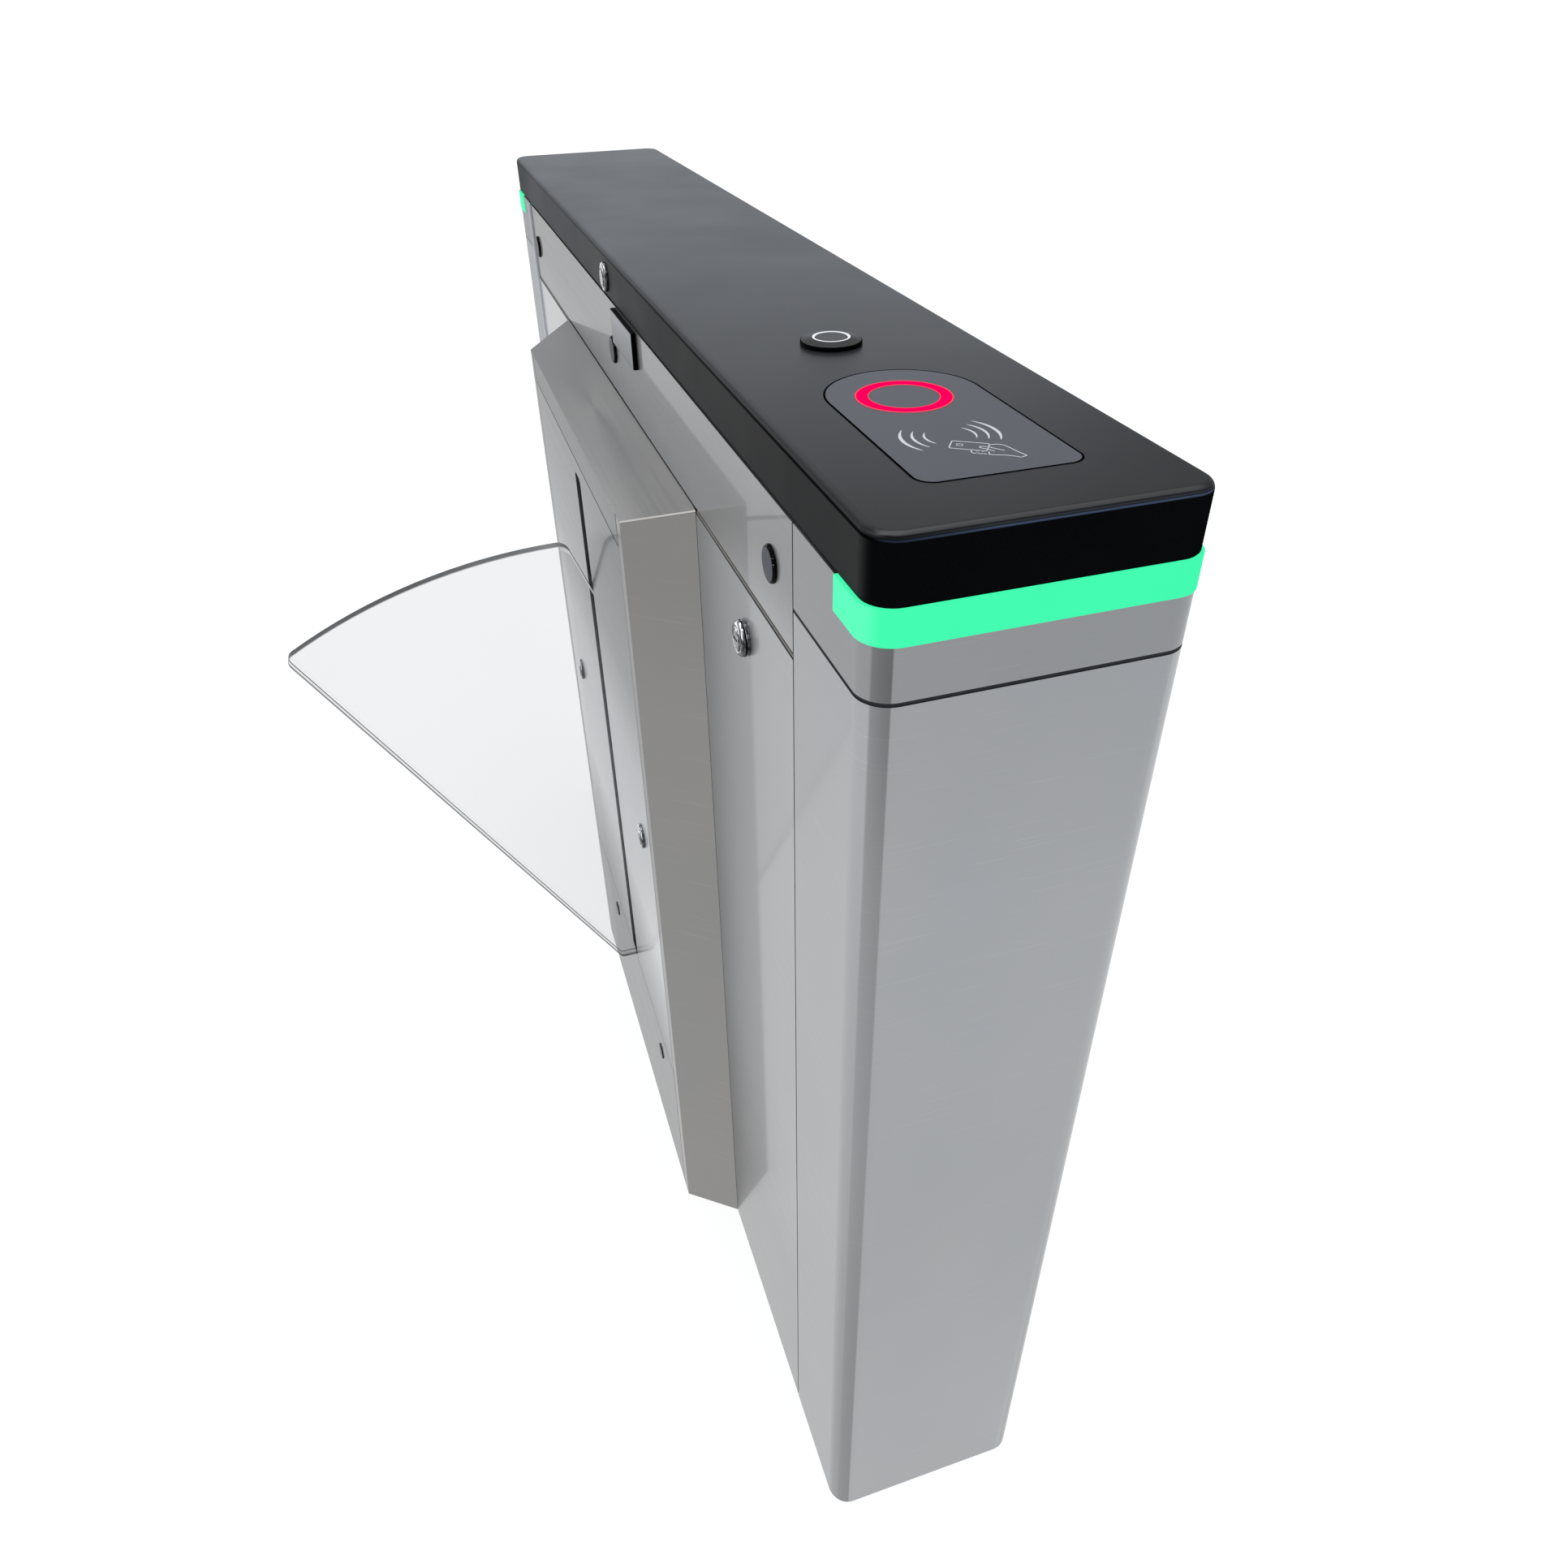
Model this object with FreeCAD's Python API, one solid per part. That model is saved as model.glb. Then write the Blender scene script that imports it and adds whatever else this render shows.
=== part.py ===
import FreeCAD, Part
import os, math

# Retracting-flap barrier turnstile: one cabinet with one flap on its left (-X) side.
# Frame: +Z up, +Y along the cabinet (card reader at the -Y end), origin on the floor at the
# centre of the four anchor holes.  Millimetres.

# ---------------------------------------------------------------- driving dimensions
LENGTH = 1200.0          # cabinet length
WIDTH = 182.0            # cabinet width between the flat side panels
HEIGHT = 980.0           # floor to lid top
CORNER_R = 18.0          # vertical corner radius of the steel ends
SHEET = 1.5              # steel sheet thickness
HOUSING = 49.0           # how far each side housing stands out
LID_BOTTOM = 944.5
LID_R = 5.0              # rounding round the lid's top edge
LIGHT_BOTTOM = 924.3     # lower edge of the light bands
LIGHT_TOP = 943.7
LIGHT_REACH = 555.5      # front light band wraps the end up to this |Y|
LIGHT_REACH_REAR = 547.0 # rear light band, a little longer
END_SEAM = 892.5         # horizontal seam of the end covers
END_GAP = 2.4
DOOR_TOP = 860.0
PANEL_BOTTOM = 865.0     # upper side panels start here
PANEL_TOP = 943.5
END_Y = 492.8            # end covers reach from the ends to this |Y|
PANEL_Y = 491.2          # side panels and doors reach to this |Y|
HOUSING_IN_Y = 273.0     # housing half length at the side panel
HOUSING_OUT_Y = 235.0    # housing half length at its outer face
HOUSING_IN_Z = 862.5     # housing top at the side panel
HOUSING_OUT_Z = 845.5    # housing top at its outer face
STRIP_Y = 218.0          # slot door seam, half length
SLOT_DOOR_TOP = 817.0
SLOT_DOOR_BOTTOM = 198.0
SLOT_Y = -30.0           # flap plane
SLOT_Y0, SLOT_Y1 = -37.5, -11.0   # slot edges; the flap runs close to the front one
SLOT_R = 6.0             # slot corner radius
SLOT_LIP = 4.6           # depth of the return along the slot's rear edge
SLOT_Z0, SLOT_Z1 = 204.0, 803.0
FLAP_T = 10.0
PIVOT_X, PIVOT_Z = -112.0, 128.0
ANCHOR_X, ANCHOR_Y, ANCHOR_R = 110.0, 860.0, 7.0
BASE_T = 5.0
MODULE, SECTOR_TEETH, PINION_TEETH = 2.0, 80, 20
LOCK_R = 11.5            # lock flange radius
DOOR_LOCK_R, DOOR_LOCK_H = 12.0, 6.0   # the service doors carry a bigger, taller lock
LENS_R = 11.5
LOW_LENS_R = 9.0

os.makedirs("parts", exist_ok=True)
V = FreeCAD.Vector
NODES = []


def save(name, shape):
    if isinstance(shape, (list, tuple)):
        shape = Part.makeCompound(list(shape))
    NODES.append(name)
    bad = [s for s in shape.Solids if not s.isValid()]
    print("%-22s solids %d  volume %.0f  invalid %d" % (name, len(shape.Solids), shape.Volume, len(bad)))
    shape.exportStep("parts/%s.step" % name)


def box(x0, x1, y0, y1, z0, z1):
    return Part.makeBox(x1 - x0, y1 - y0, z1 - z0, V(x0, y0, z0))


def cyl(r, p, d, h):
    return Part.makeCylinder(r, h, V(*p), V(*d))


def poly_xy(pts, z0, z1):
    w = Part.makePolygon([V(x, y, z0) for x, y in pts] + [V(pts[0][0], pts[0][1], z0)])
    return Part.Face(w).extrude(V(0, 0, z1 - z0))


def poly_xz(pts, y0, y1):
    w = Part.makePolygon([V(x, y0, z) for x, z in pts] + [V(pts[0][0], y0, pts[0][1])])
    return Part.Face(w).extrude(V(0, y1 - y0, 0))


def rrect(hx, hy, r, z0, z1):
    # rounded rectangle prism centred on the Z axis, half sizes hx, hy
    k = r * math.sqrt(0.5)
    def arc(cx, cy, a):
        p = [V(cx + r * math.cos(math.radians(a + t)), cy + r * math.sin(math.radians(a + t)), z0) for t in (0, 45, 90)]
        return Part.Arc(*p).toShape(), p[0], p[2]
    corners = [arc(hx - r, hy - r, 0), arc(-hx + r, hy - r, 90), arc(-hx + r, -hy + r, 180), arc(hx - r, -hy + r, 270)]
    edges = []
    for i, (e, a, b) in enumerate(corners):
        edges.append(e)
        edges.append(Part.makeLine(b, corners[(i + 1) % 4][1]))
    return Part.Face(Part.Wire(edges)).extrude(V(0, 0, z1 - z0))


def shell_ring(out, inn, z0, z1):
    # wall that follows the cabinet outline between two offsets (positive is outwards)
    hx, hy, r = WIDTH / 2, LENGTH / 2, CORNER_R
    return rrect(hx + out, hy + out, r + out, z0, z1).cut(rrect(hx + inn, hy + inn, r + inn, z0 - 1, z1 + 1))


def mirror_y(s):
    return s.mirror(V(0, 0, 0), V(0, 1, 0))


def mirror_x(s):
    return s.mirror(V(0, 0, 0), V(1, 0, 0))


def edges_at(shape, test):
    return [e for e in shape.Edges if test(e)]


def vertical_edge(e, x, y, tol=0.05):
    a, b = e.Vertexes[0].Point, e.Vertexes[-1].Point
    return abs(a.z - b.z) > 1 and all(abs(p.x - x) < tol and abs(p.y - y) < tol for p in (a, b))


HX, HY = WIDTH / 2, LENGTH / 2
XO = HX + HOUSING                       # outer face of the side housings
BIG = 3000.0

# ---------------------------------------------------------------- base plate and grommet
def housing_plan(inset):
    # one side housing in plan, on the -X side, reaching in past the side panel
    return [(-HX + 10, -HOUSING_IN_Y + inset), (-HX, -HOUSING_IN_Y + inset), (-XO + inset, -HOUSING_OUT_Y + inset),
            (-XO + inset, HOUSING_OUT_Y - inset), (-HX, HOUSING_IN_Y - inset), (-HX + 10, HOUSING_IN_Y - inset)]


GROMMET = (10.0, 385.0)
core = rrect(HX - 2, HY - 2, CORNER_R - 2, 0, BASE_T)
left_foot = poly_xy(housing_plan(3.0), 0, BASE_T)
base = core.fuse(left_foot).fuse(mirror_x(left_foot)).removeSplitter()
# room that the covers' inner lips leave for the base plate
base_room = rrect(HX - 1.8, HY - 2, CORNER_R - 2, -1, BASE_T + 0.3)
foot_room = poly_xy(housing_plan(2.6), -1, BASE_T + 0.3)
base_room = base_room.fuse(foot_room).fuse(mirror_x(foot_room))
for sx in (-1, 1):
    for sy in (-1, 1):
        base = base.cut(cyl(ANCHOR_R, (sx * ANCHOR_X / 2, sy * ANCHOR_Y / 2, -1), (0, 0, 1), BASE_T + 2))
base = base.cut(cyl(30.0, (GROMMET[0], GROMMET[1], -1), (0, 0, 1), BASE_T + 2))
save("base_plate", base)

gx, gy = GROMMET
grommet = cyl(29.9, (gx, gy, 0.5), (0, 0, 1), BASE_T - 0.5).fuse(cyl(34.0, (gx, gy, BASE_T), (0, 0, 1), 4.0))
grommet = grommet.cut(cyl(25.0, (gx, gy, -1), (0, 0, 1), 20)).removeSplitter()
save("cable_grommet", grommet)

# ---------------------------------------------------------------- inner frame
def tube(x, y, z0, z1, s=20.0, t=2.0):
    return box(x - s / 2, x + s / 2, y - s / 2, y + s / 2, z0, z1).cut(
        box(x - s / 2 + t, x + s / 2 - t, y - s / 2 + t, y + s / 2 - t, z0 - 1, z1 + 1))


POST_X = 78.0
POST_Y = (-475.0, -290.0, 290.0, 475.0)
RAIL_Z0, RAIL_Z1 = 866.0, 886.0
save("frame_posts", [tube(sx * POST_X, y, BASE_T, RAIL_Z0) for sx in (-1, 1) for y in POST_Y])

rails = []
for sx in (-1, 1):
    r = box(sx * POST_X - 10, sx * POST_X + 10, -490, 490, RAIL_Z0, RAIL_Z1)
    r = r.cut(box(sx * POST_X - 8, sx * POST_X + 8, -491, 491, RAIL_Z0 + 2, RAIL_Z1 - 2))
    rails.append(r)
for y in POST_Y:
    r = box(-POST_X + 10, POST_X - 10, y - 10, y + 10, RAIL_Z0, RAIL_Z1)
    rails.append(r.cut(box(-POST_X, POST_X, y - 8, y + 8, RAIL_Z0 + 2, RAIL_Z1 - 2)))
save("frame_rails", rails)
# catch plates hang from the left rail; the door lock cams turn up behind them
save("door_catches", [box(-72, -70, y - 40, y + 40, 836, RAIL_Z0) for y in (-393.8, 356.0)])

# ---------------------------------------------------------------- end covers and light bands
def end_half(shape):
    return shape.common(box(-BIG, BIG, -BIG, -END_Y, -10, BIG))


lower = end_half(shell_ring(0, -SHEET, 0, END_SEAM - END_GAP / 2))
save("front_end_cover", lower)
save("rear_end_cover", mirror_y(lower))

def upper_cover(reach):
    c = end_half(shell_ring(0, -SHEET, END_SEAM + END_GAP / 2, PANEL_TOP))
    return c.cut(box(-BIG, BIG, -BIG, -reach + 0.3, LIGHT_BOTTOM - 0.3, BIG))


def light_band(reach):
    return shell_ring(0.8, -1.8, LIGHT_BOTTOM, LIGHT_TOP).common(box(-BIG, BIG, -BIG, -reach, -10, BIG))


save("front_upper_cover", upper_cover(LIGHT_REACH))
save("rear_upper_cover", mirror_y(upper_cover(LIGHT_REACH_REAR)))
save("front_light_band", light_band(LIGHT_REACH))
save("rear_light_band", mirror_y(light_band(LIGHT_REACH_REAR)))
board = shell_ring(-5, -6.6, 927.5, 940.5).common(box(-BIG, BIG, -BIG, -LIGHT_REACH - 6, -10, BIG))
save("led_boards", [board, mirror_y(board)])

# ---------------------------------------------------------------- upper side panels
SENSOR_Y = (-453.0, 0.0, 453.0)
SENSOR_Z = 902.4
panel = box(-HX, -HX + SHEET, -PANEL_Y, PANEL_Y, PANEL_BOTTOM, PANEL_TOP)
for y in SENSOR_Y:
    panel = panel.cut(cyl(LENS_R - 0.8, (-HX - 5, y, SENSOR_Z), (1, 0, 0), 10))
save("left_upper_panel", panel)
save("right_upper_panel", box(HX - SHEET, HX, -PANEL_Y, PANEL_Y, PANEL_BOTTOM, PANEL_TOP))


def lens(y, z, r, x_face, proud, x_back, rounding):
    head = Part.makeCylinder(r, proud, V(x_face, y, z), V(-1, 0, 0))
    rim = edges_at(head, lambda e: abs(e.BoundBox.XMin - (x_face - proud)) < 1e-3 and abs(e.BoundBox.XMax - (x_face - proud)) < 1e-3)
    head = head.makeFillet(rounding, rim)
    return head.fuse(Part.makeCylinder(r - 1.0, x_back - x_face, V(x_face, y, z), V(1, 0, 0))).removeSplitter()


save("upper_sensor_lenses", [lens(y, SENSOR_Z, LENS_R, -HX, 2.5, -HX + 2.0, 2.0) for y in SENSOR_Y])
LOW_Y = (-147.3, 106.0)
LOW_Z = 155.3
save("lower_sensor_lenses", [lens(y, LOW_Z, LOW_LENS_R, -XO, 1.2, -XO + 2.0, 0.54) for y in LOW_Y])
mods = [box(-HX + 2.0, -HX + 22.0, y - 13, y + 13, SENSOR_Z - 12, SENSOR_Z + 12) for y in SENSOR_Y]
mods += [box(-XO + 2.0, -XO + 20.0, y - 11, y + 11, LOW_Z - 11, LOW_Z + 11) for y in LOW_Y]
save("sensor_modules", mods)

# blank badge plate under the lid's edge
badge = box(-HX - 4.0, -HX, -104.0, -20.0, 913.5, 942.0)
save("badge_plate", badge.makeChamfer(0.6, edges_at(badge, lambda e: abs(e.BoundBox.XMax + HX + 4.0) < 1e-3)))

# ---------------------------------------------------------------- locks
CAM_L = 36.0


def lock(point, out, cam_dir, cam_len=CAM_L, panel_t=SHEET, flange=LOCK_R, proud=3.2):
    # cam lock on a panel face: 'out' points away from the object, the cam hangs along cam_dir
    p, o, c = V(*point), V(*out), V(*cam_dir)
    side = o.cross(c)
    body = Part.makeCylinder(flange, proud, p, o)
    rim = [e for e in body.Edges if len(e.Vertexes) == 1 and (e.CenterOfMass - (p + o * proud)).Length < 0.1]
    body = body.makeChamfer(1.3, rim)
    body = body.fuse(Part.makeCylinder(9.0, 22.0, p, o * -1.0))
    nut_c = p - o * panel_t
    pts = [nut_c + c * (14 * math.cos(math.radians(60 * i))) + side * (14 * math.sin(math.radians(60 * i))) for i in range(6)]
    nut = Part.Face(Part.makePolygon(pts + [pts[0]])).extrude(o * -5.0)
    body = body.fuse(nut).cut(Part.makeCylinder(6.55, 60, p - o * 40, o)).removeSplitter()
    plug = Part.makeCylinder(6.5, 25.2 + proud, p - o * 24.4, o)
    rim = [e for e in plug.Edges if len(e.Vertexes) == 1 and (e.CenterOfMass - (p + o * (proud + 0.8))).Length < 0.1]
    plug = plug.makeChamfer(0.5, rim)
    a, b = c * 4.0, side * 0.75
    k = p + o * (proud - 2.2)
    key = [k + a + b, k - a + b, k - a - b, k + a - b]
    plug = plug.cut(Part.Face(Part.makePolygon(key + [key[0]])).extrude(o * 6.0))
    w = side * 6.0
    q = p - o * 26.4
    cam = [q - c * 7 + w, q + c * cam_len + w, q + c * cam_len - w, q - c * 7 - w]
    cam = Part.Face(Part.makePolygon(cam + [cam[0]])).extrude(o * 2.0)
    plug = plug.fuse(cam).removeSplitter()
    return body, plug


# ---------------------------------------------------------------- service doors on the left side
DOOR_LOCKS = (("front", -393.8, 823.0), ("rear", 356.0, 806.0))   # name, Y, Z


def service_door(y0, y1, lock_y, lock_z):
    d = box(-HX, -HX + SHEET, y0, y1, 1.0, DOOR_TOP)
    for a in (y0, y1 - SHEET):
        d = d.fuse(box(-HX, -HX + 12.0, a, a + SHEET, 8.0, DOOR_TOP - 1.0))
    d = d.removeSplitter()
    return d.cut(cyl(9.1, (-HX - 5, lock_y, lock_z), (1, 0, 0), 10))


DOOR_IN = HOUSING_IN_Y + 1.6
save("front_door", service_door(-PANEL_Y, -DOOR_IN, *DOOR_LOCKS[0][1:]))
save("rear_door", service_door(DOOR_IN, PANEL_Y, *DOOR_LOCKS[1][1:]))
for name, y, z in DOOR_LOCKS:
    b, g = lock((-HX, y, z), (-1, 0, 0), (0, 1, 0), flange=DOOR_LOCK_R, proud=DOOR_LOCK_H)
    save(name + "_lock_body", b)
    save(name + "_lock_plug", g)

# ---------------------------------------------------------------- left housing covers
ux, uy = -(XO - HX), HOUSING_IN_Y - HOUSING_OUT_Y        # along the slanted front, outwards
ln = math.hypot(ux, uy)
ux, uy = ux / ln, uy / ln
nx, ny = uy, -ux                                        # normal pointing into the housing
p0 = (-HX, -HOUSING_IN_Y)
p0i = (p0[0] + SHEET * nx, p0[1] + SHEET * ny)
t = (p0i[0] + XO - SHEET) / -ux
p1i = (-XO + SHEET, p0i[1] + t * uy)
LIP = 22.5                               # return lip that the slot door's lock cams turn behind
front_plan = [(-HX + 20.0, -HOUSING_IN_Y), p0, (-XO, -HOUSING_OUT_Y), (-XO, -STRIP_Y - 0.8), (-XO + LIP, -STRIP_Y - 0.8),
              (-XO + LIP, -STRIP_Y - 0.8 - SHEET), (-XO + SHEET, -STRIP_Y - 0.8 - SHEET), p1i, (p0i[0], -HOUSING_IN_Y + SHEET * 1.15), (-HX + 20.0, -HOUSING_IN_Y + SHEET * 1.15)]
SLOPE = (HOUSING_IN_Z - HOUSING_OUT_Z) / HOUSING


def under_slope(drop):
    # everything under the sloped housing top lowered by drop
    return poly_xz([(-HX + 40, -20), (-XO - 20, -20), (-XO - 20, HOUSING_OUT_Z - 20 * SLOPE - drop), (-HX, HOUSING_IN_Z - drop), (-HX + 40, HOUSING_IN_Z - drop)], -500, 500)


cover = poly_xy(front_plan, 0, 870).common(under_slope(SHEET + 0.2)).cut(base_room)
cover = cover.makeFillet(1.2, edges_at(cover, lambda e: vertical_edge(e, -XO, -HOUSING_OUT_Y)))
save("housing_front_cover", cover)
save("housing_rear_cover", mirror_y(cover))

plan = poly_xy([(-HX, -HOUSING_IN_Y), (-XO, -HOUSING_OUT_Y), (-XO, HOUSING_OUT_Y), (-HX, HOUSING_IN_Y)], 700, 900)
slab = under_slope(0).cut(under_slope(SHEET)).common(plan)
top = slab.fuse(box(-XO, -XO + SHEET, -STRIP_Y + 0.8, STRIP_Y - 0.8, SLOT_DOOR_TOP + 1.6, HOUSING_OUT_Z - 0.8))
top = top.fuse(box(-HX, -HX + SHEET, -HOUSING_IN_Y + 6, HOUSING_IN_Y - 6, HOUSING_IN_Z - 16, HOUSING_IN_Z)).removeSplitter()
save("housing_top_cover", top)

low = box(-XO, -XO + SHEET, -STRIP_Y + 0.8, STRIP_Y - 0.8, 0, SLOT_DOOR_BOTTOM - 1.6)
for y in LOW_Y:
    low = low.cut(cyl(LOW_LENS_R - 0.9, (-XO - 5, y, LOW_Z), (1, 0, 0), 10))
save("housing_lower_panel", low)

SLOT_LOCK_Z = 503.0
SLOT_LOCKS = (("front", -180.4, 44.0), ("rear", 146.0, 79.0))   # name, Y, cam length
door = box(-XO, -XO + SHEET, -STRIP_Y + 0.8, STRIP_Y - 0.8, SLOT_DOOR_BOTTOM, SLOT_DOOR_TOP)
slot = box(-XO - 5, -XO + 5, SLOT_Y0, SLOT_Y1, SLOT_Z0, SLOT_Z1)
slot = slot.makeFillet(SLOT_R, edges_at(slot, lambda e: e.BoundBox.XLength > 5))
door = door.cut(slot)
door = door.fuse(box(-XO, -XO + SLOT_LIP, SLOT_Y1, SLOT_Y1 + SHEET, SLOT_Z0 + 12, SLOT_Z1 - SLOT_R - 1))
for name, y, reach in SLOT_LOCKS:
    door = door.cut(cyl(9.1, (-XO - 5, y, SLOT_LOCK_Z), (1, 0, 0), 10))
for sy in (-1, 1):
    door = door.fuse(box(-XO, -XO + 10.0, min(sy * (STRIP_Y - 0.8), sy * (STRIP_Y - 2.3)), max(sy * (STRIP_Y - 0.8), sy * (STRIP_Y - 2.3)), SLOT_DOOR_BOTTOM + 2, SLOT_DOOR_TOP - 2))
save("slot_door", door.removeSplitter())
bodies = []
for name, y, reach in SLOT_LOCKS:
    b, g = lock((-XO, y, SLOT_LOCK_Z), (-1, 0, 0), (0, 0, -1), reach)
    bodies.append(b)
    save("slot_lock_plug_" + name, g)
save("slot_lock_bodies", bodies)

# ---------------------------------------------------------------- right side
side = box(HX - SHEET, HX, -PANEL_Y, -DOOR_IN, 0, DOOR_TOP)
save("right_front_panel", side)
save("right_rear_panel", mirror_y(side))
outer = poly_xy([(-HX, -HOUSING_IN_Y), (-XO, -HOUSING_OUT_Y), (-XO, HOUSING_OUT_Y), (-HX, HOUSING_IN_Y)], 0, 870).common(under_slope(0))
q0 = (p0i[0] + 30 * -ux, p0i[1] - 30 * uy)
inner = poly_xy([(q0[0], q0[1]), (p1i[0], p1i[1]), (p1i[0], -p1i[1]), (q0[0], -q0[1])], -10, 870).common(under_slope(SHEET))
hood = outer.cut(inner)
for s in (-1, 1):
    a, b = sorted((s * HOUSING_IN_Y, s * (HOUSING_IN_Y - SHEET * 1.15)))
    hood = hood.fuse(box(-HX - 0.2, -HX + 20.0, a, b, 0, HOUSING_IN_Z - 2))
hood = hood.removeSplitter().cut(base_room)
hood = hood.makeFillet(1.2, edges_at(hood, lambda e: vertical_edge(e, -XO, -HOUSING_OUT_Y) or vertical_edge(e, -XO, HOUSING_OUT_Y)))
save("right_housing", mirror_x(hood))

# ---------------------------------------------------------------- flap and its drive
F0, F1 = SLOT_Y - FLAP_T / 2, SLOT_Y + FLAP_T / 2
tip, top_in = (-426.0, 669.9), (-159.5, 742.3)
arc_mid = (-303.0, 722.2)
foot_out, foot_in, waist = (-158.1, 205.5), (-45.0, 205.5), (-45.0, 448.0)


def v2(p):
    return V(p[0], F0, p[1])


edges = [Part.makeLine(v2(foot_out), v2(foot_in)), Part.makeLine(v2(foot_in), v2(waist)), Part.makeLine(v2(waist), v2(top_in)),
         Part.Arc(v2(top_in), v2(arc_mid), v2(tip)).toShape(), Part.makeLine(v2(tip), v2(foot_out))]
flap = Part.Face(Part.Wire(edges)).extrude(V(0, FLAP_T, 0))


def cross_edge(e, p, tol=0.1):
    a, b = e.Vertexes[0].Point, e.Vertexes[-1].Point
    return abs(a.y - b.y) > 1 and all(abs(q.x - p[0]) < tol and abs(q.z - p[1]) < tol for q in (a, b))


flap = flap.makeFillet(9.0, edges_at(flap, lambda e: cross_edge(e, tip)))
flap = flap.makeFillet(13.0, edges_at(flap, lambda e: cross_edge(e, top_in)))
flap = flap.makeFillet(6.0, edges_at(flap, lambda e: cross_edge(e, foot_out) or cross_edge(e, foot_in) or cross_edge(e, waist)))
BOLTS = [(-112.0, 235.0), (-66.0, 235.0), (-112.0, 305.0), (-66.0, 305.0)]
for x, z in BOLTS:
    flap = flap.cut(cyl(4.3, (x, F0 - 5, z), (0, 1, 0), FLAP_T + 10))
rims = edges_at(flap, lambda e: (abs(e.BoundBox.YMin - F0) < 1e-3 and abs(e.BoundBox.YMax - F0) < 1e-3 or abs(e.BoundBox.YMin - F1) < 1e-3 and abs(e.BoundBox.YMax - F1) < 1e-3)
                and not (len(e.Vertexes) == 1))
flap = flap.makeChamfer(0.6, rims)
save("flap_panel", flap)

CLAMP_T = 5.0
arm = [(-132.0, 134.0), (-127.0, 212.0), (-127.0, 330.0), (-50.0, 330.0), (-50.0, 212.0), (-92.0, 119.0)]


def clamp(y0):
    c = poly_xz(arm, y0, y0 + CLAMP_T).fuse(cyl(21.5, (PIVOT_X, y0, PIVOT_Z), (0, 1, 0), CLAMP_T)).removeSplitter()
    c = c.cut(cyl(10.02, (PIVOT_X, y0 - 1, PIVOT_Z), (0, 1, 0), CLAMP_T + 2))
    for x, z in BOLTS:
        c = c.cut(cyl(4.3, (x, y0 - 1, z), (0, 1, 0), CLAMP_T + 2))
    return c


save("flap_clamps", [clamp(F0 - CLAMP_T), clamp(F1)])


def hex_y(x, y0, z, r, h):
    return poly_xz([(x + r * math.cos(math.radians(60 * i)), z + r * math.sin(math.radians(60 * i))) for i in range(6)], y0, y0 + h)


bolts = []
for x, z in BOLTS:
    s = cyl(4.0, (x, F0 - CLAMP_T - 1, z), (0, 1, 0), FLAP_T + 2 * CLAMP_T + 8)
    s = s.fuse(hex_y(x, F0 - CLAMP_T - 5.5, z, 7.5, 5.5)).fuse(hex_y(x, F1 + CLAMP_T, z, 7.5, 6.0)).removeSplitter()
    bolts.append(s)
save("clamp_bolts", bolts)

SHAFT_R = 10.0
save("pivot_shaft", cyl(SHAFT_R, (PIVOT_X, -72, PIVOT_Z), (0, 1, 0), 102))

# gears: straight-toothed, 20 degree pressure angle
PA = math.radians(20)


def inv(a):
    return math.tan(a) - a


def tooth(teeth, thin):
    # half tooth thickness angle against radius, from root to tip
    rp = MODULE * teeth / 2
    rb = rp * math.cos(PA)
    half = math.pi / (2 * teeth) - thin / rp
    ra, rf = rp + 0.92 * MODULE, rp - 1.3 * MODULE
    out = [(rf, half + inv(PA) + 0.15 / rp if rf < rb else 0)]
    r0 = max(rb, rf)
    if rf >= rb:
        out = []
    for i in range(6):
        r = r0 + (ra - r0) * i / 5.0
        a = math.acos(min(1.0, rb / r))
        out.append((r, half + inv(PA) - inv(a)))
    return out, rf


def gear_outline(teeth, first, count, phase, thin):
    prof, rf = tooth(teeth, thin)
    pts = []
    for k in range(first, first + count):
        c = phase + 2 * math.pi * k / teeth
        pts += [(r, c - h) for r, h in prof] + [(r, c + h) for r, h in reversed(prof)]
    return pts, rf


BACKLASH = 0.10
G0, G1 = -10.0, 2.0
first, count = -3, 13                  # teeth from about -13 to +41 degrees at rest
pts, rf = gear_outline(SECTOR_TEETH, first, count, 0.0, BACKLASH)
a0 = 2 * math.pi * (first - 0.5) / SECTOR_TEETH
a1 = 2 * math.pi * (first + count - 0.5) / SECTOR_TEETH
pts = [(14.0, a0), (rf, a0)] + pts + [(rf, a1), (14.0, a1)]
sector = poly_xz([(PIVOT_X + r * math.cos(a), PIVOT_Z + r * math.sin(a)) for r, a in pts], G0, G1)
sector = sector.fuse(cyl(19.0, (PIVOT_X, G0, PIVOT_Z), (0, 1, 0), G1 - G0)).removeSplitter()
mid = (a0 + a1) / 2
for r in (44.0,):
    sector = sector.cut(cyl(9.0, (PIVOT_X + r * math.cos(mid), G0 - 1, PIVOT_Z + r * math.sin(mid)), (0, 1, 0), G1 - G0 + 2))
sector = sector.cut(cyl(10.02, (PIVOT_X, G0 - 1, PIVOT_Z), (0, 1, 0), G1 - G0 + 2))
save("sector_gear", sector)

CENTRES = MODULE * (SECTOR_TEETH + PINION_TEETH) / 2 + 0.1
MX, MZ = PIVOT_X + CENTRES, PIVOT_Z
pts, rf = gear_outline(PINION_TEETH, 0, PINION_TEETH, math.pi / PINION_TEETH, BACKLASH)
pinion = poly_xz([(MX + r * math.cos(a), MZ + r * math.sin(a)) for r, a in pts], G0 - 1, G1 + 1)
pinion = pinion.fuse(cyl(8.0, (MX, G1, MZ), (0, 1, 0), 42)).removeSplitter()
save("drive_pinion", pinion)

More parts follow.
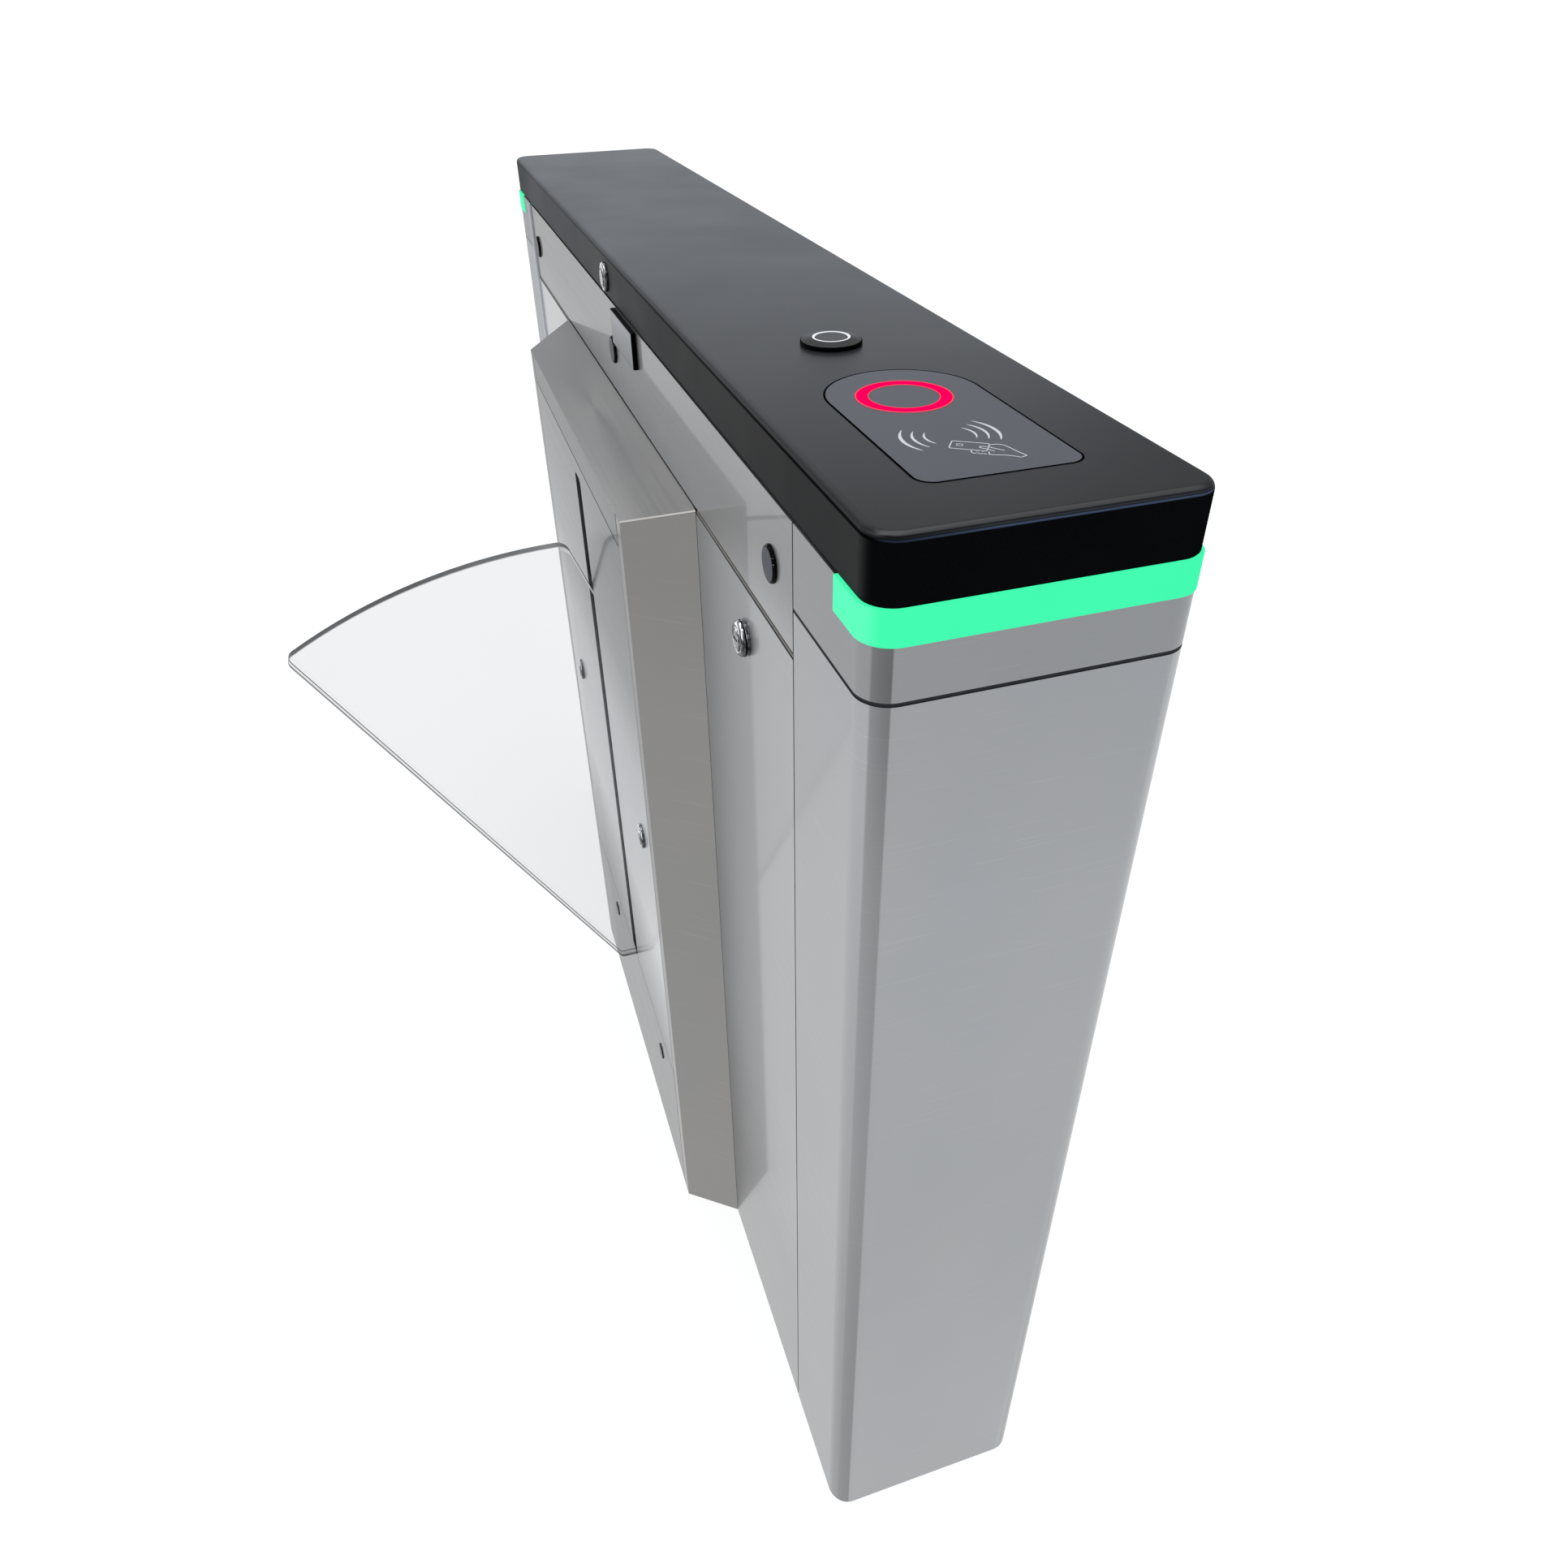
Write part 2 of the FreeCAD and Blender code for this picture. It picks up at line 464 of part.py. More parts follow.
# bracket: a base with two uprights, the rear one also carries the gearmotor
U0, U1 = -62.0, -56.0
R0, R1 = 12.0, 18.0
br = box(-134, 36, U0, 60, BASE_T, BASE_T + 6)
br = br.fuse(poly_xz([(-134, BASE_T), (-70, BASE_T), (-82, 150), (-134, 160)], U0, U1))
br = br.fuse(poly_xz([(-134, BASE_T), (36, BASE_T), (36, 150), (10, 178), (-60, 186), (-134, 166)], R0, R1)).removeSplitter()
for y0, y1 in ((U0, U1), (R0, R1)):
    br = br.cut(cyl(21.03, (PIVOT_X, y0 - 1, PIVOT_Z), (0, 1, 0), y1 - y0 + 2))
br = br.cut(cyl(14.0, (MX, R0 - 1, MZ), (0, 1, 0), R1 - R0 + 2))
save("drive_bracket", br)


def bearing(yc):
    b = cyl(21.0, (PIVOT_X, yc - 7, PIVOT_Z), (0, 1, 0), 14)
    return b.cut(cyl(SHAFT_R + 0.05, (PIVOT_X, yc - 8, PIVOT_Z), (0, 1, 0), 16))


save("pivot_bearings", [bearing((U0 + U1) / 2), bearing((R0 + R1) / 2 + 1)])

motor = cyl(34.0, (MX, R1, MZ), (0, 1, 0), 58).fuse(cyl(29.0, (MX, R1 + 58, MZ), (0, 1, 0), 100))
motor = motor.fuse(box(MX - 16, MX + 16, R1 + 84, R1 + 134, MZ + 20, MZ + 46)).removeSplitter()
motor = motor.cut(cyl(8.05, (MX, R1 - 1, MZ), (0, 1, 0), 30))
save("gearmotor", motor)

# rubber bumpers meet the sector's straight sides at both ends of the swing
BUMP_R, BUMP_AT, SWING = 8.0, 62.0, math.radians(28.0)
off = math.asin((BUMP_R + 0.6) / BUMP_AT)
bump = []
for a in (a1 + off, a0 - SWING - off):
    bump.append(cyl(BUMP_R, (PIVOT_X + BUMP_AT * math.cos(a), -9, PIVOT_Z + BUMP_AT * math.sin(a)), (0, 1, 0), R0 + 9))
save("swing_bumpers", bump)

# ---------------------------------------------------------------- electronics
ctrl = box(50, 89, -460, -312, 330, 590)
ctrl = ctrl.makeFillet(4.0, edges_at(ctrl, lambda e: abs(e.BoundBox.XMax - 50) < 1e-3))
save("controller_box", ctrl)
psu = box(52, 89, 318, 458, 250, 420)
for i in range(7):
    psu = psu.cut(box(51, 53, 340 + i * 15, 346 + i * 15, 300, 400))
save("power_supply", psu)

# ---------------------------------------------------------------- lid
LX, LY, LR = HX - 1.0, HY - 1.0, CORNER_R - 1.0
outer = rrect(LX, LY, LR, LID_BOTTOM, HEIGHT)
outer = outer.makeFillet(LID_R, edges_at(outer, lambda e: abs(e.BoundBox.ZMin - HEIGHT) < 1e-3 and abs(e.BoundBox.ZMax - HEIGHT) < 1e-3))
inner = rrect(LX - 2, LY - 2, LR - 2, LID_BOTTOM - 1, HEIGHT - 2)
lid = outer.cut(inner)
READER_HX, READER_Y0, READER_YC = 45.1, -550.1, -425.2
READER_XC = -1.2                         # the panel sits a little off the centre line


def reader_outline(grow, z0, z1):
    hx, yf = READER_HX + grow, READER_Y0 - grow
    x0, x1 = READER_XC - hx, READER_XC + hx
    s = poly_xy([(x0, yf), (x1, yf), (x1, READER_YC), (x0, READER_YC)], z0, z1)
    s = s.makeFillet(10.0 + grow, edges_at(s, lambda e: vertical_edge(e, x0, yf) or vertical_edge(e, x1, yf)))
    return s.fuse(cyl(hx, (READER_XC, READER_YC, z0), (0, 0, 1), z1 - z0)).removeSplitter()


lid = lid.cut(reader_outline(0.9, HEIGHT - 10, HEIGHT + 10))
BX, BY = -5.0, -315.0
lid = lid.cut(cyl(13.6, (BX, BY, HEIGHT - 10), (0, 0, 1), 20))
LID_LOCK = (-LX, 14.0, 959.3)
lid = lid.cut(cyl(9.1, (-LX - 5, LID_LOCK[1], LID_LOCK[2]), (1, 0, 0), 10))
# the lid is a top sheet with side strips, end strips and corner pieces welded under its rim
RIM_Z, SX, SY = HEIGHT - 2.0, LX - LR, LY - LR
cells = [(-BIG, BIG, -BIG, BIG, RIM_Z, BIG)]
cells += [(x0, x1, y0, y1, 0, RIM_Z) for x0, x1 in ((-BIG, -SX), (-SX, SX), (SX, BIG)) for y0, y1 in ((-BIG, -SY), (-SY, SY), (SY, BIG))
          if not (x0 == -SX and y0 == -SY)]
lid_parts = []
for cell in cells:
    lid_parts += lid.common(box(*cell)).Solids
save("lid_shell", lid_parts)

RING_O, RING_I = 27.6, 20.3
RING_X, RING_Y = -3.2, -429.1
rp = reader_outline(0, HEIGHT - 4.0, HEIGHT + 0.2)
rp = rp.makeFillet(0.5, edges_at(rp, lambda e: abs(e.BoundBox.ZMin - HEIGHT - 0.2) < 1e-3 and abs(e.BoundBox.ZMax - HEIGHT - 0.2) < 1e-3))
groove = cyl(RING_O + 0.1, (RING_X, RING_Y, HEIGHT - 1.6), (0, 0, 1), 5).cut(cyl(RING_I - 0.1, (RING_X, RING_Y, HEIGHT - 2), (0, 0, 1), 6))
save("reader_panel", rp.cut(groove))
save("reader_ring", cyl(RING_O, (RING_X, RING_Y, HEIGHT - 1.6), (0, 0, 1), 2.0).cut(cyl(RING_I, (RING_X, RING_Y, HEIGHT - 2), (0, 0, 1), 6)))
mod = box(-50, 50, -544, -396, HEIGHT - 16, HEIGHT - 4)
save("reader_module", mod.makeFillet(5.0, edges_at(mod, lambda e: abs(e.BoundBox.ZMax - e.BoundBox.ZMin) > 5)))

# button: bezel with a shallow cone, a light ring and a short-stroke cap
prof = [(7.9, HEIGHT - 14), (13.4, HEIGHT - 14), (13.4, HEIGHT), (20.0, HEIGHT), (20.0, HEIGHT + 2.3), (19.4, HEIGHT + 2.7), (12.3, HEIGHT + 4.2), (12.3, HEIGHT + 1.0),
        (11.0, HEIGHT + 1.0), (11.0, HEIGHT), (7.9, HEIGHT)]


def revolve(prof):
    w = Part.makePolygon([V(BX + r, BY, z) for r, z in prof] + [V(BX + prof[0][0], BY, prof[0][1])])
    return Part.Face(w).revolve(V(BX, BY, 0), V(0, 0, 1), 360)


save("button_bezel", revolve(prof))
save("button_light_ring", revolve([(11.0, HEIGHT + 1.0), (12.25, HEIGHT + 1.0), (12.25, HEIGHT + 4.3), (11.0, HEIGHT + 4.3)]))
save("button_cap", revolve([(0, HEIGHT - 16), (7.5, HEIGHT - 16), (7.5, HEIGHT + 1.9), (10.6, HEIGHT + 1.9), (10.6, HEIGHT + 3.8), (10.2, HEIGHT + 4.2), (0, HEIGHT + 4.2)]))

b, g = lock(LID_LOCK, (-1, 0, 0), (0, 0, -1), 26.0, 2.0)
save("lid_lock_body", b)
save("lid_lock_plug", g)
# keeper: a hook over the lid lock's cam when it is turned level
keep = box(-88, -46, 28, 48, RAIL_Z1, RAIL_Z1 + 3).fuse(box(-52, -46, 32, 36, RAIL_Z1, 972)).fuse(box(-72, -46, 32, 36, 966.8, 972)).removeSplitter()
save("lid_keeper", keep)

# lid hinges on the right side, pins along the lid's lower edge
HXA, HZA, KR, PR = HX + 4.5, 944.2, 4.0, 2.0
HINGE_Y = (-400.0, 400.0)
fixed, lidleaf, pins = [], [], []
for yc in HINGE_Y:
    f = box(HX, HX + 1.8, yc - 30, yc + 30, 916, HZA)
    l = box(LX, LX + 1.8, yc - 30, yc + 30, HZA + 1.2, 970)
    link = box(LX, HXA, yc - 9.8, yc + 9.8, HZA, HZA + 4.0)
    l = l.fuse(link).fuse(cyl(KR, (HXA, yc - 9.8, HZA), (0, 1, 0), 19.6))
    f = f.cut(cyl(KR + 0.5, (HXA, yc - 10.3, HZA), (0, 1, 0), 20.6))
    for a in (yc - 30, yc + 10.2):
        f = f.fuse(cyl(KR, (HXA, a, HZA), (0, 1, 0), 19.8))
        l = l.cut(cyl(KR + 0.5, (HXA, a - 0.2, HZA), (0, 1, 0), 20.2))
    f = f.removeSplitter().cut(cyl(PR, (HXA, yc - 40, HZA), (0, 1, 0), 80))
    l = l.removeSplitter().cut(cyl(PR, (HXA, yc - 40, HZA), (0, 1, 0), 80))
    for dy in (-20, 0, 20):
        f = f.cut(cyl(2.2, (HX - 1, yc + dy, 926), (1, 0, 0), 6))
        l = l.cut(cyl(2.2, (LX - 1, yc + dy, 960), (1, 0, 0), 6))
    fixed.append(f)
    lidleaf.append(l)
    pins.append(cyl(PR - 0.05, (HXA, yc - 30.5, HZA), (0, 1, 0), 61))
save("hinge_leaves_fixed", fixed)
save("hinge_leaves_lid", lidleaf)
save("hinge_pins", pins)
print(len(NODES), "nodes")
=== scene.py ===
import bpy, bmesh, math
from mathutils import Matrix, Vector


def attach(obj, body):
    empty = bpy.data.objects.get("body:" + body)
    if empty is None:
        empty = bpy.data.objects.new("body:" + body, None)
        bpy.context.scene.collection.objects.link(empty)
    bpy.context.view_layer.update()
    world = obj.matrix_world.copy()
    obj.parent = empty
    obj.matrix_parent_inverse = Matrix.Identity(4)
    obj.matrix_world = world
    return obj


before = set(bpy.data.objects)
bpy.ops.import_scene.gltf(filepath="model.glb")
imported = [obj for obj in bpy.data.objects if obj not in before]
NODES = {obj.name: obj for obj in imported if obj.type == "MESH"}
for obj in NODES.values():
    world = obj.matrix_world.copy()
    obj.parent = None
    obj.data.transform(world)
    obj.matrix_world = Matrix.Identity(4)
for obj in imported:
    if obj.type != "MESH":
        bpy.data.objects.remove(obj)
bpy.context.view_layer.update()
MM = 0.001

# ------------------------------------------------------------------ node helpers


class Mat:
    """Short-hand for building one node material."""

    def __init__(self, name):
        self.m = bpy.data.materials.new(name)
        self.m.use_nodes = True
        self.t = self.m.node_tree
        self.t.nodes.clear()
        self.out = self.n("ShaderNodeOutputMaterial")
        self.coord = self.n("ShaderNodeTexCoord")
        self.xyz = None

    def n(self, kind, **props):
        node = self.t.nodes.new(kind)
        for k, v in props.items():
            setattr(node, k, v)
        return node

    def put(self, socket, value):
        if hasattr(value, "is_linked") or hasattr(value, "links"):
            self.t.links.new(value, socket)
        else:
            socket.default_value = value

    def pos(self):
        return self.coord.outputs["Object"]

    def normal(self):
        return self.coord.outputs["Normal"]

    def split(self, vec):
        s = self.n("ShaderNodeSeparateXYZ")
        self.put(s.inputs[0], vec)
        return s.outputs

    def scaled(self, sx, sy, sz, vec=None):
        mp = self.n("ShaderNodeMapping")
        self.put(mp.inputs["Vector"], vec if vec is not None else self.pos())
        mp.inputs["Scale"].default_value = (sx, sy, sz)
        return mp.outputs[0]

    def noise(self, vec, scale=1.0, detail=2.0, rough=0.5, dist=0.0):
        t = self.n("ShaderNodeTexNoise")
        self.put(t.inputs["Vector"], vec)
        t.inputs["Scale"].default_value = scale
        t.inputs["Detail"].default_value = detail
        t.inputs["Roughness"].default_value = rough
        t.inputs["Distortion"].default_value = dist
        return t.outputs["Fac"]

    def math(self, op, a, b=0.0, c=0.0, clamp=False):
        t = self.n("ShaderNodeMath", operation=op, use_clamp=clamp)
        self.put(t.inputs[0], a)
        self.put(t.inputs[1], b)
        if len(t.inputs) > 2:
            self.put(t.inputs[2], c)
        return t.outputs[0]

    def rng(self, v, a, b, c, d, smooth=False):
        t = self.n("ShaderNodeMapRange", clamp=True, interpolation_type="SMOOTHSTEP" if smooth else "LINEAR")
        self.put(t.inputs["Value"], v)
        for k, x in (("From Min", a), ("From Max", b), ("To Min", c), ("To Max", d)):
            t.inputs[k].default_value = x
        return t.outputs["Result"]

    def mix(self, fac, a, b, mode="MIX"):
        t = self.n("ShaderNodeMix", data_type="RGBA", blend_type=mode)
        self.put(t.inputs["Factor"], fac)
        self.put(t.inputs["A"], a if hasattr(a, "links") else (*a, 1.0))
        self.put(t.inputs["B"], b if hasattr(b, "links") else (*b, 1.0))
        return t.outputs["Result"]

    def mixf(self, fac, a, b):
        t = self.n("ShaderNodeMix", data_type="FLOAT")
        self.put(t.inputs["Factor"], fac)
        self.put(t.inputs["A"], a)
        self.put(t.inputs["B"], b)
        return t.outputs["Result"]

    def ramp(self, v, stops):
        """Grey factor over v, straight between the stops."""
        t = self.n("ShaderNodeValToRGB")
        self.put(t.inputs[0], v)
        e = t.color_ramp.elements
        while len(e) < len(stops):
            e.new(0.5)
        for k, (at, f) in zip(e, stops):
            k.position = at
            k.color = (f, f, f, 1.0)
        return t.outputs[0]

    def bump(self, height, strength, distance=0.0003):
        b = self.n("ShaderNodeBump")
        b.inputs["Strength"].default_value = strength
        b.inputs["Distance"].default_value = distance
        self.put(b.inputs["Height"], height)
        return b.outputs[0]

    def principled(self, **inputs):
        p = self.n("ShaderNodeBsdfPrincipled")
        for k, v in inputs.items():
            key = k.replace("_", " ").title().replace("Ior", "IOR").replace("Coat IOR", "Coat IOR").replace(" Brdf", " BRDF")
            s = p.inputs[key]
            if isinstance(v, tuple) and len(v) == 3 and s.type == "RGBA":
                v = (*v, 1.0)
            self.put(s, v)
        return p

    def finish(self, shader):
        self.put(self.out.inputs["Surface"], shader.outputs[0] if hasattr(shader, "outputs") else shader)
        return self.m


def s2l(*c):
    """Display colour 0-255 to linear."""
    r = []
    for v in c:
        v = v / 255.0
        r.append(v / 12.92 if v <= 0.04045 else ((v + 0.055) / 1.055) ** 2.4)
    return tuple(r)


# ------------------------------------------------------------------ materials


def steel(name, base, rough=0.40, grain="Z", corner=0.0, contrast=0.022, aniso=0.35, coat=0.4, shine=0.075, scratch=0.05, front=None, tone=None, along=None, upright=None, slot=False):
    """Brushed stainless sheet: a broad sheen from the grain and a sharper mirror image on top of it.
    The grain runs level on upright faces; on top faces it runs along the length.
    tone and front list (height in metres, factor) of painted light and shade, front on faces square to the length;
    along lists (Y as a share of the length, factor) of painted light and shade; upright is the factor of painted shade
    on the faces that stand upright to the sides;
    corner paints a darker facet of shade on the rounded corners; slot paints shade on the returns inside the flap slot."""
    g = Mat(name)
    if grain == "Z":
        v1, v2, v3 = g.scaled(3.0, 3.0, 420.0), g.scaled(9.0, 9.0, 2200.0), g.scaled(14.0, 14.0, 900.0)
    else:
        v1, v2, v3 = g.scaled(420.0, 3.0, 200.0), g.scaled(2200.0, 9.0, 1200.0), g.scaled(900.0, 14.0, 500.0)
    a = g.noise(v1, 1.0, 3.0, 0.6)
    b = g.noise(v2, 1.0, 2.0, 0.6)
    cloud = g.noise(g.scaled(1.0, 1.0, 0.55), 6.0, 3.0, 0.5)
    streak = g.math("ADD", g.math("MULTIPLY", a, 0.5), g.math("MULTIPLY", b, 0.5))
    fac = g.rng(streak, 0.34, 0.66, 0.0, 1.0)
    lo = tuple(x * (1 - contrast) for x in base)
    hi = tuple(min(1.0, x * (1 + contrast)) for x in base)
    col = g.mix(fac, lo, hi)
    col = g.mix(g.rng(cloud, 0.38, 0.62, 0.0, 1.0), col, g.mix(1.0, col, (0.955, 0.968, 0.985), "MULTIPLY"))
    line = g.rng(g.noise(v3, 1.0, 1.0, 0.5), 0.70, 0.76, 0.0, 1.0)
    col = g.mix(g.math("MULTIPLY", line, scratch), col, (0.9, 0.9, 0.9))
    nx, ny, nz = g.split(g.normal())
    px, py, pz = g.split(g.pos())
    turn = g.math("ABSOLUTE", ny)
    # painted light and shade by height: front on faces square to the length, tone on the rest
    if front:
        square = g.rng(turn, 0.950, 0.975, 0.0, 1.0, True)
        col = g.mix(1.0, col, g.mix(square, g.ramp(pz, tone), g.ramp(pz, front)), "MULTIPLY")
    elif tone:
        col = g.mix(1.0, col, g.ramp(pz, tone), "MULTIPLY")
    # painted light and shade along the length
    if along:
        col = g.mix(1.0, col, g.ramp(g.rng(py, -0.6, 0.6, 0.0, 1.0), along), "MULTIPLY")
    # painted shade on the faces that stand upright to the sides
    if upright:
        col = g.mix(g.rng(g.math("ABSOLUTE", nx), 0.90, 0.98, 0.0, 1.0), col, g.mix(1.0, col, upright, "MULTIPLY"))
    # painted shade: a darker facet on the rounded corners, stronger higher up
    if corner:
        facet = g.math("MULTIPLY", g.rng(turn, 0.62, 0.69, 0.0, 1.0, True), g.rng(turn, 0.955, 0.974, 1.0, 0.0, True))
        facet = g.math("MULTIPLY", facet, g.rng(turn, 0.66, 0.96, 0.64, 1.0))
        facet = g.math("MULTIPLY", facet, g.math("GREATER_THAN", g.math("MULTIPLY", nx, ny), 0.0))
        deep = g.math("MULTIPLY", facet, g.ramp(pz, [(0.0, 0.38), (0.5, 0.40), (0.62, 0.46), (0.776, 0.62), (0.88, 0.94)]))
        col = g.mix(deep, col, g.mix(1.0, col, (1 - corner,) * 3, "MULTIPLY"))
    # painted shade on the returns inside the flap slot
    if slot:
        inside = g.math("MULTIPLY", g.rng(g.math("ABSOLUTE", g.math("ADD", py, 0.0243)), 0.0131, 0.0134, 1.0, 0.0), g.rng(px, -0.13995, -0.1385, 0.0, 1.0))
        inside = g.math("MULTIPLY", inside, g.math("GREATER_THAN", g.math("MULTIPLY", g.math("SUBTRACT", pz, 0.2035), g.math("SUBTRACT", 0.8035, pz)), 0.0))
        col = g.mix(inside, col, g.mix(1.0, col, (0.10, 0.10, 0.105), "MULTIPLY"))
    r = g.rng(fac, 0.0, 1.0, rough * 0.92, rough * 1.08)
    tan = g.n("ShaderNodeTangent", direction_type="RADIAL", axis="Z")
    p = g.principled(base_color=col, metallic=1.0, roughness=r, anisotropic=aniso, coat_weight=coat, coat_roughness=shine, coat_ior=1.5)
    g.put(p.inputs["Tangent"], tan.outputs[0])
    return g.finish(p)


def paint(name, base, rough, level=0.5, scale=1400.0, bump=0.08, contrast=0.25, metallic=0.0, coat=0.0):
    """Powder coat, moulded plastic or rubber with a fine grain."""
    g = Mat(name)
    fine = g.noise(g.pos(), scale, 2.0, 0.6)
    broad = g.noise(g.pos(), 9.0, 3.0, 0.55)
    f = g.math("ADD", g.math("MULTIPLY", fine, 0.5), g.math("MULTIPLY", broad, 0.5))
    lo = tuple(x * (1 - contrast) for x in base)
    hi = tuple(x * (1 + contrast) for x in base)
    col = g.mix(g.rng(f, 0.35, 0.65, 0.0, 1.0), lo, hi)
    r = g.rng(broad, 0.3, 0.7, rough * 0.92, min(1.0, rough * 1.08))
    p = g.principled(base_color=col, roughness=r, metallic=metallic, specular_ior_level=level, coat_weight=coat)
    g.put(p.inputs["Normal"], g.bump(fine, bump, 0.0002))
    return g.finish(p)


def lamp(name, colour, strength, body, var=0.035, pitch=22.0, flank=None):
    """Lit diffuser: even, with a faint ripple where each diode sits behind it."""
    g = Mat(name)
    broad = g.noise(g.pos(), 40.0, 2.0, 0.5)
    x, y, z = g.split(g.pos())
    wave = g.math("SINE", g.math("MULTIPLY", g.math("ADD", x, y), 2 * math.pi * pitch))
    f = g.math("ADD", g.math("MULTIPLY", wave, 0.06), broad)
    e = g.mix(g.rng(f, 0.1, 0.95, 0.0, 1.0), tuple(c * (1 - var) for c in colour), tuple(min(1.0, c * (1 + var * 0.3)) for c in colour))
    if flank:
        nx, ny, nz = g.split(g.normal())
        e = g.mix(g.rng(g.math("ABSOLUTE", nx), 0.55, 0.95, 0.0, 1.0, True), e, flank)
    p = g.principled(base_color=body, roughness=0.5, specular_ior_level=0.0, emission_color=e, emission_strength=strength)
    return g.finish(p)


M = {}
# ramps of painted light and shade by height for the steel covers
SIDE_PAINTED_LIGHT = [(0.0, 0.51), (0.18, 0.57), (0.40, 0.85), (0.61, 0.93), (0.74, 1.02), (0.82, 1.09)]
END_PAINTED_LIGHT = [(0.0, 0.57), (0.265, 0.69), (0.55, 0.915), (0.69, 0.98), (0.86, 1.07), (0.892, 1.07), (0.8935, 0.755)]
FRONT_PAINTED_LIGHT = [(0.0, 0.91), (0.12, 0.92), (0.43, 0.92), (0.60, 0.97), (0.74, 0.985), (0.86, 0.925), (0.892, 0.92), (0.8935, 0.765)]
SLOT_PAINTED_LIGHT = [(0.0, 0.30), (0.20, 0.36), (0.30, 0.92), (0.378, 1.50), (0.50, 1.33), (0.58, 1.18), (0.68, 0.50), (0.80, 0.24)]
SLANT_PAINTED_LIGHT = [(0.0, 1.08), (0.25, 1.07), (0.68, 1.0), (0.80, 0.91)]
M["steel_side"] = steel("steel_side", (0.368, 0.372, 0.380), tone=SIDE_PAINTED_LIGHT, shine=0.06)
M["steel_end"] = steel("steel_end", (0.345, 0.352, 0.362), corner=0.60, front=FRONT_PAINTED_LIGHT, tone=END_PAINTED_LIGHT)
M["steel_rear"] = steel("steel_rear", (0.300, 0.306, 0.315), corner=0.60, coat=0.06, front=FRONT_PAINTED_LIGHT, tone=END_PAINTED_LIGHT)
# a darker, warmer copy of the steel: painted shade on the slanted housing faces, with painted light by height
M["steel_slant_shaded"] = steel("steel_slant_shaded", (0.240, 0.235, 0.228), coat=0.2, tone=SLANT_PAINTED_LIGHT)
# housing top: painted light along its length and painted shade on its upright faces
M["steel_top"] = steel("steel_top", (0.402, 0.390, 0.376), grain="X", coat=0.15, along=[(0.0, 1.30), (0.30, 1.30), (0.3475, 1.25), (0.50, 1.0), (0.64, 0.96), (1.0, 0.95)], upright=(0.27, 0.28, 0.295))
# slot returns: painted reflection and shade by height
M["steel_slot"] = steel("steel_slot", (0.36, 0.365, 0.374), coat=0.30, tone=SLOT_PAINTED_LIGHT, slot=True)
# upper panels: a much darker copy of the steel as painted shade under the lid, with painted light by height and along
# the length
UPPER_PAINTED_LIGHT = [(0.866, 1.50), (0.885, 1.25), (0.90, 1.05), (0.912, 1.0)]
UPPER_PAINTED_LIGHT_ALONG = [(0.0, 1.22), (0.15, 1.22), (0.1667, 1.15), (0.2083, 1.06), (0.30, 1.0), (0.45, 0.97), (0.55, 0.80), (0.625, 0.66), (0.71, 0.55), (0.875, 0.48), (1.0, 0.46)]
M["steel_upper_shaded"] = steel("steel_upper_shaded", (0.205, 0.205, 0.207), coat=0.38, shine=0.04, tone=UPPER_PAINTED_LIGHT, along=UPPER_PAINTED_LIGHT_ALONG)


